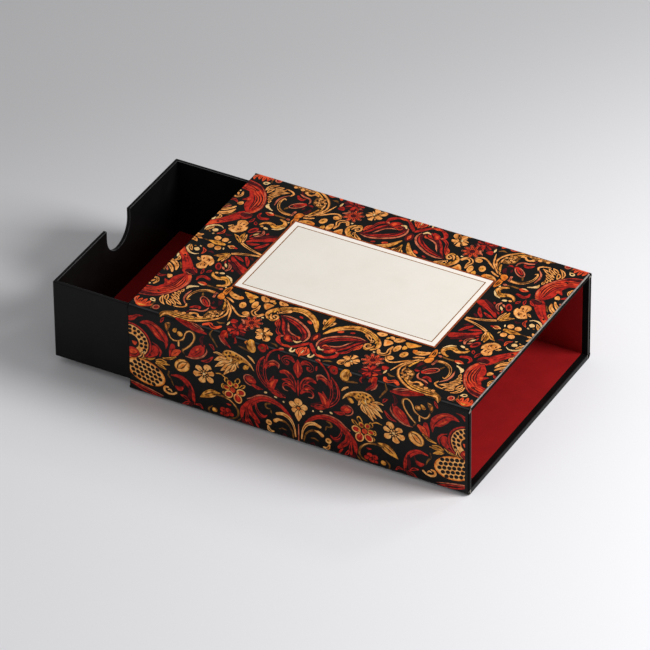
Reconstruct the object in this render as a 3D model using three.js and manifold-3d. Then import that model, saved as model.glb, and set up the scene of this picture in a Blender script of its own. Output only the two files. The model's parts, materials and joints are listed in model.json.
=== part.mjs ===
// Paper box: a rigid drawer box of greyboard covered in paper. A printed sleeve, open at both ends,
// holds a black tray that slides along X. The tray is drawn part of the way out, towards -X.
//
// Units are millimetres, +Z is up, and +X points along the slide towards the sleeve's free mouth.
// The origin is the centre of the sleeve's underside, on the surface that the box stands on.
// The front is the long side at -Y, and the back the one at +Y.

import * as THREE from "three";
import { mergeVertices } from "three/addons/utils/BufferGeometryUtils.js";
import Module from "manifold-3d";

const wasm = await Module();
wasm.setup();

// Driving dimensions of the sleeve, outside.
const sleeveLength = 164;
const sleeveWidth = 114;
const sleeveHeight = 45.2;

// Sheet thicknesses. Everything is glued, and the dry glue line keeps the layers apart.
const sleeveBoard = 2;
const trayBoard = 1;
const printedPaper = 0.2;
const basePaper = 0.2;
const liningPaper = 0.2;
const trayPaper = 0.2;
const stayPaper = 0.15;
const labelPaper = 0.15;
const glueLine = 0.03;

// How the sleeve is made up.
const boardLap = 0.3; // how far the top and bottom boards reach over the edges of the side boards
const tuckWidth = 12; // printed sheet turned under the bottom board at each long edge
const turnIn = 15; // paper folded over the end of a board and down its inner face, at each mouth
const liningSetback = 3; // how far inside the mouth the coloured lining starts
const liningSeam = 0.5; // gap left where the lining's two edges meet on the floor
const seamInset = 6; // from the front wall to that gap
const cornerSteps = 8; // facets in each rounded long edge

// Title label on the sleeve's top.
const labelLength = 98;
const labelWidth = 56;
const labelOffsetY = 3.4; // towards the back

// The tray and its running clearances in the sleeve.
const pullOut = 39; // how far the tray is drawn out at rest
const trayShort = 0.5; // how much shorter the tray is than the sleeve
const sideClearance = 0.6; // at each side wall
const floorClearance = 0.3;
const topClearance = 0.5;
const floorFlap = 10; // tray paper that turns from the walls onto the floor, under the floor lining
const floorLiningInset = 0.4; // from the floor lining to the walls, all round
const stayLeg = 15; // length of each leg of a corner stay

// Finger notch in the tray's pull end, finished size.
const notchWidth = 20;
const notchDepth = 14.5;
const notchSteps = 20; // facets in the half circle

const overrun = 1; // how far a cutting tool runs past the material it cuts

// Faces of the sleeve, from the outside in. Y faces are distances from the middle plane.
const outerY = sleeveWidth / 2;
const mouthX = sleeveLength / 2;
const wrapZ = basePaper + glueLine; // underside of the tucked edges
const boardEndX = mouthX - printedPaper - glueLine;
const boardOuterY = outerY - printedPaper - glueLine;
const boardInnerY = boardOuterY - sleeveBoard;
const lapY = boardInnerY + boardLap;
const bottomBoardZ = wrapZ + printedPaper + glueLine;
const floorBoardTop = bottomBoardZ + sleeveBoard;
const topBoardTop = sleeveHeight - printedPaper - glueLine;
const ceilingBoardZ = topBoardTop - sleeveBoard;
const turnInY = boardInnerY - glueLine - printedPaper; // inner face of the turn-in on a side wall
const turnInCeiling = ceilingBoardZ - glueLine - printedPaper;
const turnInFloor = floorBoardTop + glueLine + basePaper;
const liningOuterY = turnInY - glueLine;
const liningFloor = turnInFloor + glueLine;
const liningCeiling = turnInCeiling - glueLine;
const roomY = liningOuterY - liningPaper; // half the clear width inside the sleeve
const roomFloor = liningFloor + liningPaper;
const roomCeiling = liningCeiling - liningPaper;
const edgeRadius = outerY - lapY; // outside radius of the printed sheet over a long edge

// The tray's own frame has its origin under the middle of its underside.
const trayHalfX = (sleeveLength - trayShort) / 2;
const trayHalfY = roomY - sideClearance;
const trayHeight = roomCeiling - roomFloor - floorClearance - topClearance;
const trayRestX = -mouthX - pullOut + trayHalfX;
const trayRestZ = roomFloor + floorClearance;
const standOff = trayPaper + glueLine + stayPaper + glueLine; // outside of the tray to its boards
const trayBoardX = trayHalfX - standOff;
const trayBoardY = trayHalfY - standOff;
const trayBoardZ = trayPaper + glueLine;
const trayFloorTop = trayBoardZ + trayBoard;
const wallTop = trayHeight - trayPaper - glueLine;
const wallInnerX = trayBoardX - trayBoard;
const wallInnerY = trayBoardY - trayBoard;
const cavityX = wallInnerX - glueLine - trayPaper; // half the clear length inside the tray
const cavityY = wallInnerY - glueLine - trayPaper;
const flapZ = trayFloorTop + glueLine;
const cavityFloor = flapZ + trayPaper;

// Papers and boards. Colours are what the eye sees on each sheet.
const greyboard = sheetMaterial(0x9a958c, 0.95);
const printedSheet = sheetMaterial(0x1b1a19, 0.55);
const blackSheet = sheetMaterial(0x121212, 0.7);
const redSheet = sheetMaterial(0x8f1c1c, 0.8);
const creamSheet = sheetMaterial(0xf1ece2, 0.75);
const stayTape = sheetMaterial(0xb9a27c, 0.9);

function sheetMaterial(color, roughness) {
  return new THREE.MeshStandardMaterial({ color, roughness, metalness: 0 });
}

// A plain sheet or board between two corners.
function sheet([x0, y0, z0], [x1, y1, z1]) {
  const geometry = new THREE.BoxGeometry(x1 - x0, y1 - y0, z1 - z0);
  return geometry.translate((x0 + x1) / 2, (y0 + y1) / 2, (z0 + z1) / 2);
}

// A sheet that is centred on the X and Y axes.
function centredSheet(halfX, halfY, z0, z1) {
  return sheet([-halfX, -halfY, z0], [halfX, halfY, z1]);
}

// A cross-section drawn in Y and Z, extruded along X from x0 to x1.
function alongX(section, x0, x1, curveSegments) {
  const geometry = new THREE.ExtrudeGeometry(section, {
    depth: x1 - x0,
    bevelEnabled: false,
    curveSegments,
  });
  const lieDown = new THREE.Matrix4().makeBasis(
    new THREE.Vector3(0, 1, 0),
    new THREE.Vector3(0, 0, 1),
    new THREE.Vector3(1, 0, 0),
  );
  return geometry.applyMatrix4(lieDown).translate(x0, 0, 0);
}

// A cross-section drawn in X and Z, extruded along Y over the width from -halfY to halfY.
function acrossY(section, halfY) {
  const geometry = new THREE.ExtrudeGeometry(section, { depth: halfY * 2, bevelEnabled: false });
  return geometry.rotateX(Math.PI / 2).translate(0, halfY, 0);
}

function polygon(points) {
  return new THREE.Shape(points.map(([across, up]) => new THREE.Vector2(across, up)));
}

function toSolid(geometry) {
  const bare = geometry.clone();
  bare.deleteAttribute("normal");
  bare.deleteAttribute("uv");
  const merged = mergeVertices(bare);
  return new wasm.Manifold(
    new wasm.Mesh({
      numProp: 3,
      vertProperties: merged.attributes.position.array,
      triVerts: Uint32Array.from(merged.index.array),
    }),
  );
}

function toGeometry(solid) {
  const { vertProperties, triVerts } = solid.getMesh();
  const geometry = new THREE.BufferGeometry();
  geometry.setAttribute("position", new THREE.BufferAttribute(vertProperties, 3));
  geometry.setIndex(new THREE.BufferAttribute(triVerts, 1));
  geometry.computeVertexNormals();
  return geometry;
}

function joined(first, ...others) {
  return others.reduce((solid, other) => solid.add(toSolid(other)), toSolid(first));
}

function cutFrom(solid, ...tools) {
  return tools.reduce((left, tool) => left.subtract(toSolid(tool)), solid);
}

function mesh(name, geometry, material) {
  const made = new THREE.Mesh(geometry, material);
  made.name = name;
  return made;
}

// The printed sheet's section: up one side, over the top and down the other, and tucked under the
// bottom board at both long edges. Outside the boards' edges it bridges an open corner as an arc.
function wrapSection() {
  const inner = edgeRadius - printedPaper;
  const tuckEnd = outerY - tuckWidth;
  const lowArc = wrapZ + edgeRadius;
  const highArc = sleeveHeight - edgeRadius;
  const quarter = Math.PI / 2;
  const section = new THREE.Shape();
  section.moveTo(-tuckEnd, wrapZ);
  section.absarc(-lapY, lowArc, edgeRadius, -quarter, -2 * quarter, true);
  section.absarc(-lapY, highArc, edgeRadius, 2 * quarter, quarter, true);
  section.absarc(lapY, highArc, edgeRadius, quarter, 0, true);
  section.absarc(lapY, lowArc, edgeRadius, 0, -quarter, true);
  section.lineTo(tuckEnd, wrapZ);
  section.lineTo(tuckEnd, wrapZ + printedPaper);
  section.absarc(lapY, lowArc, inner, -quarter, 0, false);
  section.absarc(lapY, highArc, inner, 0, quarter, false);
  section.absarc(-lapY, highArc, inner, quarter, 2 * quarter, false);
  section.absarc(-lapY, lowArc, inner, 2 * quarter, 3 * quarter, false);
  section.lineTo(-tuckEnd, wrapZ + printedPaper);
  return section;
}

// One mouth of the printed sheet, at +X: it folds over the ends of the top and side boards as a lip,
// and turns in along their inner faces. The rounded long edges stay open, as thin dark tubes.
function mouthFolds() {
  const lipX = mouthX - printedPaper;
  const turnInEnd = lipX - turnIn;
  const legZ = floorBoardTop + glueLine;
  const outerLegY = turnInY + printedPaper;
  const outerCeiling = turnInCeiling + printedPaper;
  const topLip = sheet([lipX, -lapY, turnInCeiling], [mouthX, lapY, sleeveHeight]);
  const sideLips = [-1, 1].map((side) => {
    const [y0, y1] = [side * turnInY, side * outerY].sort((a, b) => a - b);
    return sheet([lipX, y0, legZ], [mouthX, y1, ceilingBoardZ]);
  });
  const inside = polygon([
    [-outerLegY, legZ],
    [-turnInY, legZ],
    [-turnInY, turnInCeiling],
    [turnInY, turnInCeiling],
    [turnInY, legZ],
    [outerLegY, legZ],
    [outerLegY, outerCeiling],
    [-outerLegY, outerCeiling],
  ]);
  return joined(topLip, ...sideLips, alongX(inside, turnInEnd, mouthX));
}

function sleeveWrap() {
  const skin = toSolid(alongX(wrapSection(), -mouthX, mouthX, cornerSteps));
  // The tucked edges stop at the end of the bottom board, where the base paper folds up.
  const tuckRelief = sheet(
    [boardEndX, -lapY, wrapZ - overrun],
    [mouthX + overrun, lapY, floorBoardTop],
  );
  const trimmed = cutFrom(skin, tuckRelief, tuckRelief.clone().rotateZ(Math.PI));
  const folds = mouthFolds();
  return toGeometry(trimmed.add(folds).add(folds.rotate([0, 0, 180])));
}

// The black sheet on the underside. It covers the tucked edges, folds up over the ends of the bottom
// board and turns in along the floor, so its section along the slide is a flat C.
function sleeveBasePaper() {
  const innerX = mouthX - basePaper;
  const turnInEnd = innerX - turnIn;
  const turnInZ = turnInFloor - basePaper;
  const section = polygon([
    [-mouthX, 0],
    [mouthX, 0],
    [mouthX, turnInFloor],
    [turnInEnd, turnInFloor],
    [turnInEnd, turnInZ],
    [innerX, turnInZ],
    [innerX, basePaper],
    [-innerX, basePaper],
    [-innerX, turnInZ],
    [-turnInEnd, turnInZ],
    [-turnInEnd, turnInFloor],
    [-mouthX, turnInFloor],
  ]);
  return acrossY(section, liningOuterY);
}

// The coloured lining goes once round the inside, with a narrow seam on the floor.
function sleeveLining() {
  const seamY = -liningOuterY + seamInset;
  const section = polygon([
    [seamY, liningFloor],
    [seamY, roomFloor],
    [-roomY, roomFloor],
    [-roomY, roomCeiling],
    [roomY, roomCeiling],
    [roomY, roomFloor],
    [seamY + liningSeam, roomFloor],
    [seamY + liningSeam, liningFloor],
    [liningOuterY, liningFloor],
    [liningOuterY, liningCeiling],
    [-liningOuterY, liningCeiling],
    [-liningOuterY, liningFloor],
  ]);
  const halfX = mouthX - liningSetback;
  return alongX(section, -halfX, halfX);
}

function sleeve() {
  const group = new THREE.Group();
  const sideBoard = (y0) =>
    sheet([-boardEndX, y0, floorBoardTop], [boardEndX, y0 + sleeveBoard, ceilingBoardZ]);
  const labelZ = sleeveHeight + glueLine;
  const label = sheet(
    [-labelLength / 2, labelOffsetY - labelWidth / 2, labelZ],
    [labelLength / 2, labelOffsetY + labelWidth / 2, labelZ + labelPaper],
  );
  group.add(
    mesh("sleeve_bottom_board", centredSheet(boardEndX, lapY, bottomBoardZ, floorBoardTop), greyboard),
    mesh("sleeve_front_board", sideBoard(-boardOuterY), greyboard),
    mesh("sleeve_back_board", sideBoard(boardInnerY), greyboard),
    mesh("sleeve_top_board", centredSheet(boardEndX, lapY, ceilingBoardZ, topBoardTop), greyboard),
    mesh("sleeve_wrap", sleeveWrap(), printedSheet),
    mesh("sleeve_base_paper", sleeveBasePaper(), blackSheet),
    mesh("sleeve_lining", sleeveLining(), redSheet),
    mesh("title_label", label, creamSheet),
  );
  return group;
}

// The finger notch as a cutter through the pull end's wall: straight sides down from the rim and a
// half circle at the foot. It grows by the given amount for the board, which the paper then lines.
function notchCutter(growth) {
  const radius = notchWidth / 2 + growth;
  const centreZ = trayHeight - notchDepth + notchWidth / 2;
  const top = trayHeight + overrun;
  const section = new THREE.Shape();
  section.moveTo(radius, top);
  section.lineTo(-radius, top);
  section.absarc(0, centreZ, radius, Math.PI, 2 * Math.PI, false);
  return alongX(section, -trayHalfX - overrun, -cavityX + overrun, notchSteps);
}

function pullEndBoard() {
  const board = sheet(
    [-trayBoardX, -trayBoardY, trayFloorTop],
    [-wallInnerX, trayBoardY, wallTop],
  );
  return toGeometry(cutFrom(toSolid(board), notchCutter(trayPaper + glueLine)));
}

// The tray's covering is one sheet: under the floor, up the outside of the walls, over the rim, down
// the inside and onto the floor by a flap. What is left between its faces is the room for the boards.
function trayWrap() {
  const rimZ = trayHeight - trayPaper;
  const block = toSolid(centredSheet(trayHalfX, trayHalfY, 0, trayHeight));
  const cavity = centredSheet(cavityX, cavityY, cavityFloor, trayHeight + overrun);
  const flapOpening = centredSheet(
    cavityX - floorFlap,
    cavityY - floorFlap,
    trayFloorTop,
    cavityFloor + overrun,
  );
  const boardRoom = cutFrom(
    toSolid(centredSheet(trayHalfX - trayPaper, trayHalfY - trayPaper, trayPaper, rimZ)),
    centredSheet(cavityX + trayPaper, cavityY + trayPaper, flapZ, trayHeight),
    notchCutter(trayPaper),
  );
  const shell = cutFrom(block, cavity, flapOpening, notchCutter(0));
  return toGeometry(shell.subtract(boardRoom));
}

// A paper stay round one corner of the tray, under the covering. The signs pick the corner.
function cornerStay(signX, signY) {
  const innerX = trayBoardX + glueLine;
  const innerY = trayBoardY + glueLine;
  const outerX = innerX + stayPaper;
  const outerStayY = innerY + stayPaper;
  const section = polygon([
    [innerX, innerY],
    [innerX, outerStayY - stayLeg],
    [outerX, outerStayY - stayLeg],
    [outerX, outerStayY],
    [outerX - stayLeg, outerStayY],
    [outerX - stayLeg, innerY],
  ]);
  const geometry = new THREE.ExtrudeGeometry(section, {
    depth: wallTop - trayBoardZ,
    bevelEnabled: false,
  }).translate(0, 0, trayBoardZ);
  // A quarter turn carries X onto Y, so opposite corners use a half turn and the others a mirror.
  if (signX * signY > 0) return signX > 0 ? geometry : geometry.rotateZ(Math.PI);
  return mirroredInX(signX > 0 ? geometry.rotateZ(Math.PI) : geometry);
}

// Mirrors a closed geometry in X and turns its triangles round, so that its faces still point out.
function mirroredInX(geometry) {
  const mirrored = mergeVertices(geometry.scale(-1, 1, 1));
  const index = mirrored.index.array;
  for (let corner = 0; corner < index.length; corner += 3) {
    [index[corner], index[corner + 1]] = [index[corner + 1], index[corner]];
  }
  return mirrored;
}

function tray() {
  const group = new THREE.Group();
  const sideWall = (y0) =>
    sheet([-wallInnerX, y0, trayFloorTop], [wallInnerX, y0 + trayBoard, wallTop]);
  const rearWall = sheet([wallInnerX, -trayBoardY, trayFloorTop], [trayBoardX, trayBoardY, wallTop]);
  const liningZ = cavityFloor + glueLine;
  const floorLining = centredSheet(
    cavityX - floorLiningInset,
    cavityY - floorLiningInset,
    liningZ,
    liningZ + liningPaper,
  );
  group.add(
    mesh("tray_bottom_board", centredSheet(trayBoardX, trayBoardY, trayBoardZ, trayFloorTop), greyboard),
    mesh("tray_pull_end_board", pullEndBoard(), greyboard),
    mesh("tray_rear_end_board", rearWall, greyboard),
    mesh("tray_front_side_board", sideWall(-trayBoardY), greyboard),
    mesh("tray_back_side_board", sideWall(wallInnerY), greyboard),
    mesh("tray_wrap", trayWrap(), blackSheet),
    mesh("tray_floor_lining", floorLining, redSheet),
  );
  for (const [end, signX] of [["pull", -1], ["rear", 1]]) {
    for (const [side, signY] of [["front", -1], ["back", 1]]) {
      group.add(mesh(`tray_corner_stay_${end}_${side}`, cornerStay(signX, signY), stayTape));
    }
  }
  group.position.set(trayRestX, 0, trayRestZ);
  return group;
}

const paperBox = new THREE.Group();
paperBox.add(sleeve(), tray());

export default paperBox;
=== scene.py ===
# %% [markdown]
# This lesson dresses a rigid drawer box: a printed sleeve, open at both ends, with a black tray that
# slides in it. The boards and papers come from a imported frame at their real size. Blender adds what
# the eye reads on them: the printed sheet bent over its board, the rounded folds, the inks and the
# fibre of each paper. Lengths are written in millimetres and turned into Blender's metres once.

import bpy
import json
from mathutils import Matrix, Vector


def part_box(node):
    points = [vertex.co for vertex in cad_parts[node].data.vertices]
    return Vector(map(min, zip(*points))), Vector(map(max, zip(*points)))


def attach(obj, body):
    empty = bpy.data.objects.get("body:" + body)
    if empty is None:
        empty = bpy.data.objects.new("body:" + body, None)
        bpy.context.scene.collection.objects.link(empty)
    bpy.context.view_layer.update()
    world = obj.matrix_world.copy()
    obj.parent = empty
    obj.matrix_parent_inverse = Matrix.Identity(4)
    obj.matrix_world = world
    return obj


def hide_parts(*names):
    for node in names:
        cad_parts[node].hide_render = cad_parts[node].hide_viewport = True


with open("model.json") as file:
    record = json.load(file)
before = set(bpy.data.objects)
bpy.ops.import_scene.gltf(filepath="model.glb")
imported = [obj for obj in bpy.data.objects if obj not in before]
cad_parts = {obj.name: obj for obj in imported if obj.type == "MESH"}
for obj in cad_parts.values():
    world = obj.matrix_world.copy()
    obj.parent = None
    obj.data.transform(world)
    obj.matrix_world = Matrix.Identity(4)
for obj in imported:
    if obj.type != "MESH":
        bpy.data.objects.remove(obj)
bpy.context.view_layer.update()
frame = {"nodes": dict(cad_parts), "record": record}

# %% The tools that this lesson uses
import json
from math import atan2, ceil, cos, hypot, pi, radians, sin

import bmesh
import bpy
from mathutils import Matrix, Vector
from mathutils.geometry import delaunay_2d_cdt

MM = 0.001  # one millimetre in metres


def corners_mm(node):
    """The lowest and highest corner of one piece of the frame, in millimetres."""
    low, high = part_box(node)
    return low / MM, high / MM


def link(piece):
    bpy.context.scene.collection.objects.link(piece)
    return piece


# %% [markdown]
# The camera stands where the photographer stood: above the table, to the right of the long side's
# front, and far back with a long lens, so that the box's parallel edges stay nearly parallel. To
# turn angles into a camera by hand takes three directions. One points back from the box to the
# lens, one to the picture's right and one up the picture.

# %% The camera
camera_azimuth = radians(28.87)  # from straight ahead of the long side, towards the free mouth
camera_elevation = radians(35.28)
camera_roll = radians(-0.58)
camera_distance_mm = 2771.6
camera_shift_mm = (-15.4, 20.9)  # how far the lens stands right of and above the box's origin
picture_px = 650
focal_px = 6431.2
sensor_mm = 36

back = Vector((
    sin(camera_azimuth) * cos(camera_elevation),
    -cos(camera_azimuth) * cos(camera_elevation),
    sin(camera_elevation),
))
level_right = Vector((0, 0, 1)).cross(back).normalized()
level_up = back.cross(level_right)
right = level_right * cos(camera_roll) + level_up * sin(camera_roll)
up = level_up * cos(camera_roll) - level_right * sin(camera_roll)
shift_right, shift_up = camera_shift_mm
eye = back * camera_distance_mm + right * shift_right + up * shift_up

camera = link(bpy.data.objects.new("camera", bpy.data.cameras.new("camera")))
camera.data.sensor_width = sensor_mm
camera.data.lens = focal_px / picture_px * sensor_mm
camera.data.clip_end = 20
camera.matrix_world = Matrix((right, up, back)).transposed().to_4x4()
camera.location = eye * MM
bpy.context.scene.camera = camera
print("The lens is", round(camera.data.lens), "mm long and stands at", camera.location)

# %% [markdown]
# A material in Blender is a small graph of nodes. Every finish below is built with the same helper:
# it makes one node, sets its options, fills its sockets with numbers and links it to other nodes.
# Colours are written as the hex values that a picture editor shows. Blender reckons in linear
# light, so one function turns them over.

# %% Helpers for materials
def linear(hex_colour):
    """An sRGB colour such as #8f1c1c as the linear values that Blender reckons with."""
    shares = [int(hex_colour[place:place + 2], 16) / 255 for place in (1, 3, 5)]
    bent = [s / 12.92 if s <= 0.04045 else ((s + 0.055) / 1.055) ** 2.4 for s in shares]
    return (*bent, 1)


def add_node(tree, kind, sockets=None, **options):
    """One node with its options. sockets maps an input's name or place to a number or an output."""
    node = tree.nodes.new(kind)
    for option, value in options.items():
        setattr(node, option, value)
    for socket, value in (sockets or {}).items():
        if isinstance(value, bpy.types.NodeSocket):
            tree.links.new(value, node.inputs[socket])
        else:
            node.inputs[socket].default_value = value
    return node


def new_material(name):
    """A material with only its shader and output, and the shader's tree."""
    material = bpy.data.materials.new(name)
    material.use_nodes = True
    return material, material.node_tree, material.node_tree.nodes["Principled BSDF"]


def per_metre(size_mm):
    """The scale of a pattern whose features are size_mm apart, as Blender counts them per metre."""
    return 1 / (size_mm * MM)


print("The middle grey #808080 is", round(linear("#808080")[0], 2), "of full white in linear light")

# %% [markdown]
# The floor is a sheet of pale grey studio paper. In the picture it runs from a mid grey at the top
# left to near white at the lower right, because the light falls off across it. A gradient along
# one direction in the floor's colour gives that without more light on the box. The studio is a
# dim, even sky with one broad lamp from the right and above, which leaves the box's left end dark
# and reaches through the free mouth. A small lamp behind draws a fine light along the edges, and a
# weak, wide one in front lifts the inks of the long side.

# %% The floor
floor_size_mm = 6000
floor_mesh = bpy.data.meshes.new("studio_floor")
half_floor = floor_size_mm / 2 * MM
below_box = -0.05 * MM  # clear of the base sheet, which lies on it
floor_mesh.from_pydata(
    [(x * half_floor, y * half_floor, below_box) for x, y in ((-1, -1), (1, -1), (1, 1), (-1, 1))],
    [],
    [(0, 1, 2, 3)],
)
floor = link(bpy.data.objects.new("studio_floor", floor_mesh))

# The gradient runs across the floor from far on the left to near on the right.
gradient_start_mm = (-180, 200)
gradient_end_mm = (190, -150)
grey_far = "#c8c8ca"
grey_middle = "#ececef"
grey_near = "#ebebee"

studio_paper, tree, shader = new_material("studio_background_paper")
along = Vector(gradient_end_mm) - Vector(gradient_start_mm)
turn = atan2(along.y, along.x)
place = add_node(tree, "ShaderNodeTexCoord")
centred = add_node(tree, "ShaderNodeVectorMath", {
    0: place.outputs["Object"],
    1: (*(Vector(gradient_start_mm) * MM), 0),
}, operation="SUBTRACT")
share = add_node(tree, "ShaderNodeVectorMath", {
    0: centred.outputs["Vector"],
    1: (*(along / along.length_squared / MM), 0),
}, operation="DOT_PRODUCT")
ramp = add_node(tree, "ShaderNodeValToRGB", {"Fac": share.outputs["Value"]})
ramp.color_ramp.interpolation = "EASE"
ramp.color_ramp.elements[0].color = linear(grey_far)
ramp.color_ramp.elements[1].color = linear(grey_near)
ramp.color_ramp.elements.new(0.5).color = linear(grey_middle)
tree.links.new(ramp.outputs["Color"], shader.inputs["Base Color"])
shader.inputs["Roughness"].default_value = 0.9
shader.inputs["Specular IOR Level"].default_value = 0.1
floor_mesh.materials.append(studio_paper)
print("The floor turns from one grey to the other over", round(along.length), "mm")

# %% The light
sky_strength = 0.33
world = bpy.data.worlds.new("studio")
world.use_nodes = True
world.node_tree.nodes["Background"].inputs["Color"].default_value = linear("#ffffff")
world.node_tree.nodes["Background"].inputs["Strength"].default_value = sky_strength
bpy.context.scene.world = world


def soft_lamp(name, azimuth, elevation, distance_mm, size_mm, watts):
    """A square lamp that looks at the box. Its azimuth, in degrees, goes from +X towards +Y."""
    azimuth, elevation = radians(azimuth), radians(elevation)
    data = bpy.data.lights.new(name, "AREA")
    data.shape = "SQUARE"
    data.size = size_mm * MM
    data.energy = watts
    lamp = link(bpy.data.objects.new(name, data))
    way = Vector((
        cos(azimuth) * cos(elevation),
        sin(azimuth) * cos(elevation),
        sin(elevation),
    ))
    lamp.location = way * distance_mm * MM
    lamp.rotation_euler = way.to_track_quat("Z", "Y").to_euler()
    return lamp


key_lamp = soft_lamp("key_lamp", azimuth=16, elevation=34, distance_mm=1000, size_mm=420, watts=10.6)
soft_lamp("edge_lamp", azimuth=62, elevation=36, distance_mm=900, size_mm=100, watts=0.5)
soft_lamp("fill_lamp", azimuth=-100, elevation=14, distance_mm=1000, size_mm=500, watts=0.9)
bpy.context.scene.view_settings.view_transform = "Standard"
print("The sky's strength is", sky_strength, "and the key lamp gives", key_lamp.data.energy, "watts")

# %% [markdown]
# The black covering paper is a dyed, matt-laminated sheet. It is never quite black: fibres under the
# film make it mottle by a shade, and the film gives a soft, wide highlight along each fold. The red
# lining is the same stuff without the film. A few folds also get a light grey, glossier sheet: a
# painted highlight along them. All of them are one recipe: a slow cloud of two close shades, and a
# fine felt of fibres as bump.

# %% A mottled sheet
def mottled(name, shades, cloud, contrast, fibre, bump, sheen, gloss):
    """A sheet that drifts between two shades, with a fine relief and a sheen that drifts along.

    cloud gives the drift's size, detail and roughness, and contrast the part of it that counts.
    fibre gives the relief's size and detail, and bump its height and strength. sheen is the least
    and the greatest roughness of the surface. Sizes and heights are in millimetres.
    """
    material, tree, shader = new_material(name)
    place = add_node(tree, "ShaderNodeTexCoord").outputs["Object"]
    drift = add_node(tree, "ShaderNodeTexNoise", {
        "Vector": place,
        "Scale": per_metre(cloud[0]),
        "Detail": cloud[1],
        "Roughness": cloud[2],
    }).outputs["Fac"]
    tone = add_node(tree, "ShaderNodeMapRange", {
        "Value": drift,
        "From Min": contrast[0],
        "From Max": contrast[1],
    })
    mix = add_node(tree, "ShaderNodeMix", {
        "Factor": tone.outputs["Result"],
        "A": linear(shades[0]),
        "B": linear(shades[1]),
    }, data_type="RGBA")
    relief = add_node(tree, "ShaderNodeTexNoise", {
        "Vector": place,
        "Scale": per_metre(fibre[0]),
        "Detail": fibre[1],
    })
    felt = add_node(tree, "ShaderNodeBump", {
        "Height": relief.outputs["Fac"],
        "Distance": bump[0] * MM,
        "Strength": bump[1],
    })
    shine = add_node(tree, "ShaderNodeMapRange", {
        "Value": drift,
        "To Min": sheen[0],
        "To Max": sheen[1],
    })
    tree.links.new(mix.outputs[2], shader.inputs["Base Color"])
    tree.links.new(felt.outputs["Normal"], shader.inputs["Normal"])
    tree.links.new(shine.outputs["Result"], shader.inputs["Roughness"])
    shader.inputs["Specular IOR Level"].default_value = gloss
    return material


print("Fibres 1.1 mm apart need a pattern with a scale of", round(per_metre(1.1)))

# %% Papers and board
def felted_paper(name, colour, shade, roughness, gloss=0.2, cloud_mm=9, fibre_mm=1.1):
    """A dyed sheet, whose colour wanders to a shade along its fibres."""
    return mottled(
        name, (colour, shade), cloud=(cloud_mm, 6, 0.62), contrast=(0.3, 0.7), fibre=(fibre_mm, 3),
        bump=(0.02, 0.6), sheen=(roughness - 0.06, roughness + 0.06), gloss=gloss,
    )


black_paper = felted_paper("black_laminated_paper", "#080808", "#0e0e0e", 0.42, gloss=0.12)
red_paper = felted_paper("red_dyed_paper", "#861114", "#931416", 0.75, gloss=0.1)
stay_paper = felted_paper("gummed_kraft_tape", "#b9a27c", "#a98f66", 0.85)
greyboard = felted_paper("raw_greyboard", "#9a958c", "#86817a", 0.95, cloud_mm=3, fibre_mm=0.8)
# A light grey, glossier sheet for some folds: a painted highlight along them.
fold_highlight_grey = felted_paper("painted_highlight_black_fold", "#58585a", "#727274", 0.36, gloss=0.4)
# Near black: the dyed back of the base sheet, and a painted shade on the printed sheet's back, which keeps
# the holes at the mouth's corners dark.
dark_back_and_painted_shade = felted_paper("dyed_back_and_painted_shade", "#151413", "#1b1a18", 0.9, gloss=0.1)
cut_edge = felted_paper("cut_paper_edge", "#55514c", "#48443f", 0.8)
print("The papers are", ", ".join(material.name for material in bpy.data.materials))

# %% [markdown]
# Paper starts flat. It is cut to an outline, printed, and only then folded over its boards, so the
# same is done here. The outline and every printed shape are drawn on the flat sheet, and Blender's
# constrained triangulation cuts the sheet along all their edges, so that each triangle has one ink.
# Then each corner is carried to its place on the box. A fold is a path in section: straight lengths
# and round turns. A point keeps its distance along the path, so the print bends without stretching.

# %% Fold a path
def folded(path, travel, depth=0):
    """Where a point lies that far along a folded path and that deep under it, and which way is out."""
    (x, y), heading, pieces = path
    for length, turn in pieces:
        step = min(travel, length)
        if turn:
            radius = length / turn
            x += sin(heading) * radius
            y -= cos(heading) * radius
            heading -= step / radius
            x -= sin(heading) * radius
            y += cos(heading) * radius
        else:
            x += cos(heading) * step
            y += sin(heading) * step
        travel -= step
        if travel <= 0:
            break
    out_x, out_y = -sin(heading), cos(heading)
    return x - out_x * depth, y - out_y * depth, out_x, out_y


def round_turn(radius, angle=pi / 2):
    return radius * angle, angle


def turn_steps(start, length, steps):
    """Evenly spread crease lines over a round turn, so that it stays round once it is bent."""
    return [start + length * k / steps for k in range(steps + 1)]


print("A quarter turn with a radius of 2 mm takes", round(round_turn(2)[0], 2), "mm of paper")

# %% Cut a printed sheet into triangles
def cut_flat(outline, creases, shapes=()):
    """The flat sheet's points, its triangles with the place of their topmost shape, and its rim."""
    points = list(outline)
    faces = [list(range(len(outline)))]
    for _, shape in shapes:
        faces.append(list(range(len(points), len(points) + len(shape))))
        points += shape
    edges = []
    for start, end in creases:
        edges.append((len(points), len(points) + 1))
        points += [start, end]
    closeness = 1e-5
    flat, _, triangles, merged, _, under = delaunay_2d_cdt(
        [Vector(point) for point in points], edges, faces, 1, closeness
    )
    inside = [(corners, max(marks)) for corners, marks in zip(triangles, under) if 0 in marks]
    used = sorted({k for corners, _ in inside for k in corners})
    new_place = {k: place for place, k in enumerate(used)}
    kept = [([new_place[k] for k in corners], top) for corners, top in inside]
    follows = {}
    sides = {(a, b) for corners, _ in kept for a, b in zip(corners, corners[1:] + corners[:1])}
    for a, b in sides:
        if (b, a) not in sides:
            follows[a] = b
    rim = [next(iter(follows))]
    while follows[rim[-1]] != rim[0]:
        rim.append(follows[rim[-1]])
    place_of = {mark: new_place.get(k) for k, marks in enumerate(merged) for mark in marks}
    flat = [tuple(flat[k]) for k in used]
    return flat, kept, rim, [place_of[k] for k in range(len(outline))]


square = [(0, 0), (1, 0), (1, 1), (0, 1)]
square_cut = cut_flat(square, [((0.5, -1), (0.5, 2))])
print("A square sheet with one crease is cut into", len(square_cut[1]), "triangles")

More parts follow.
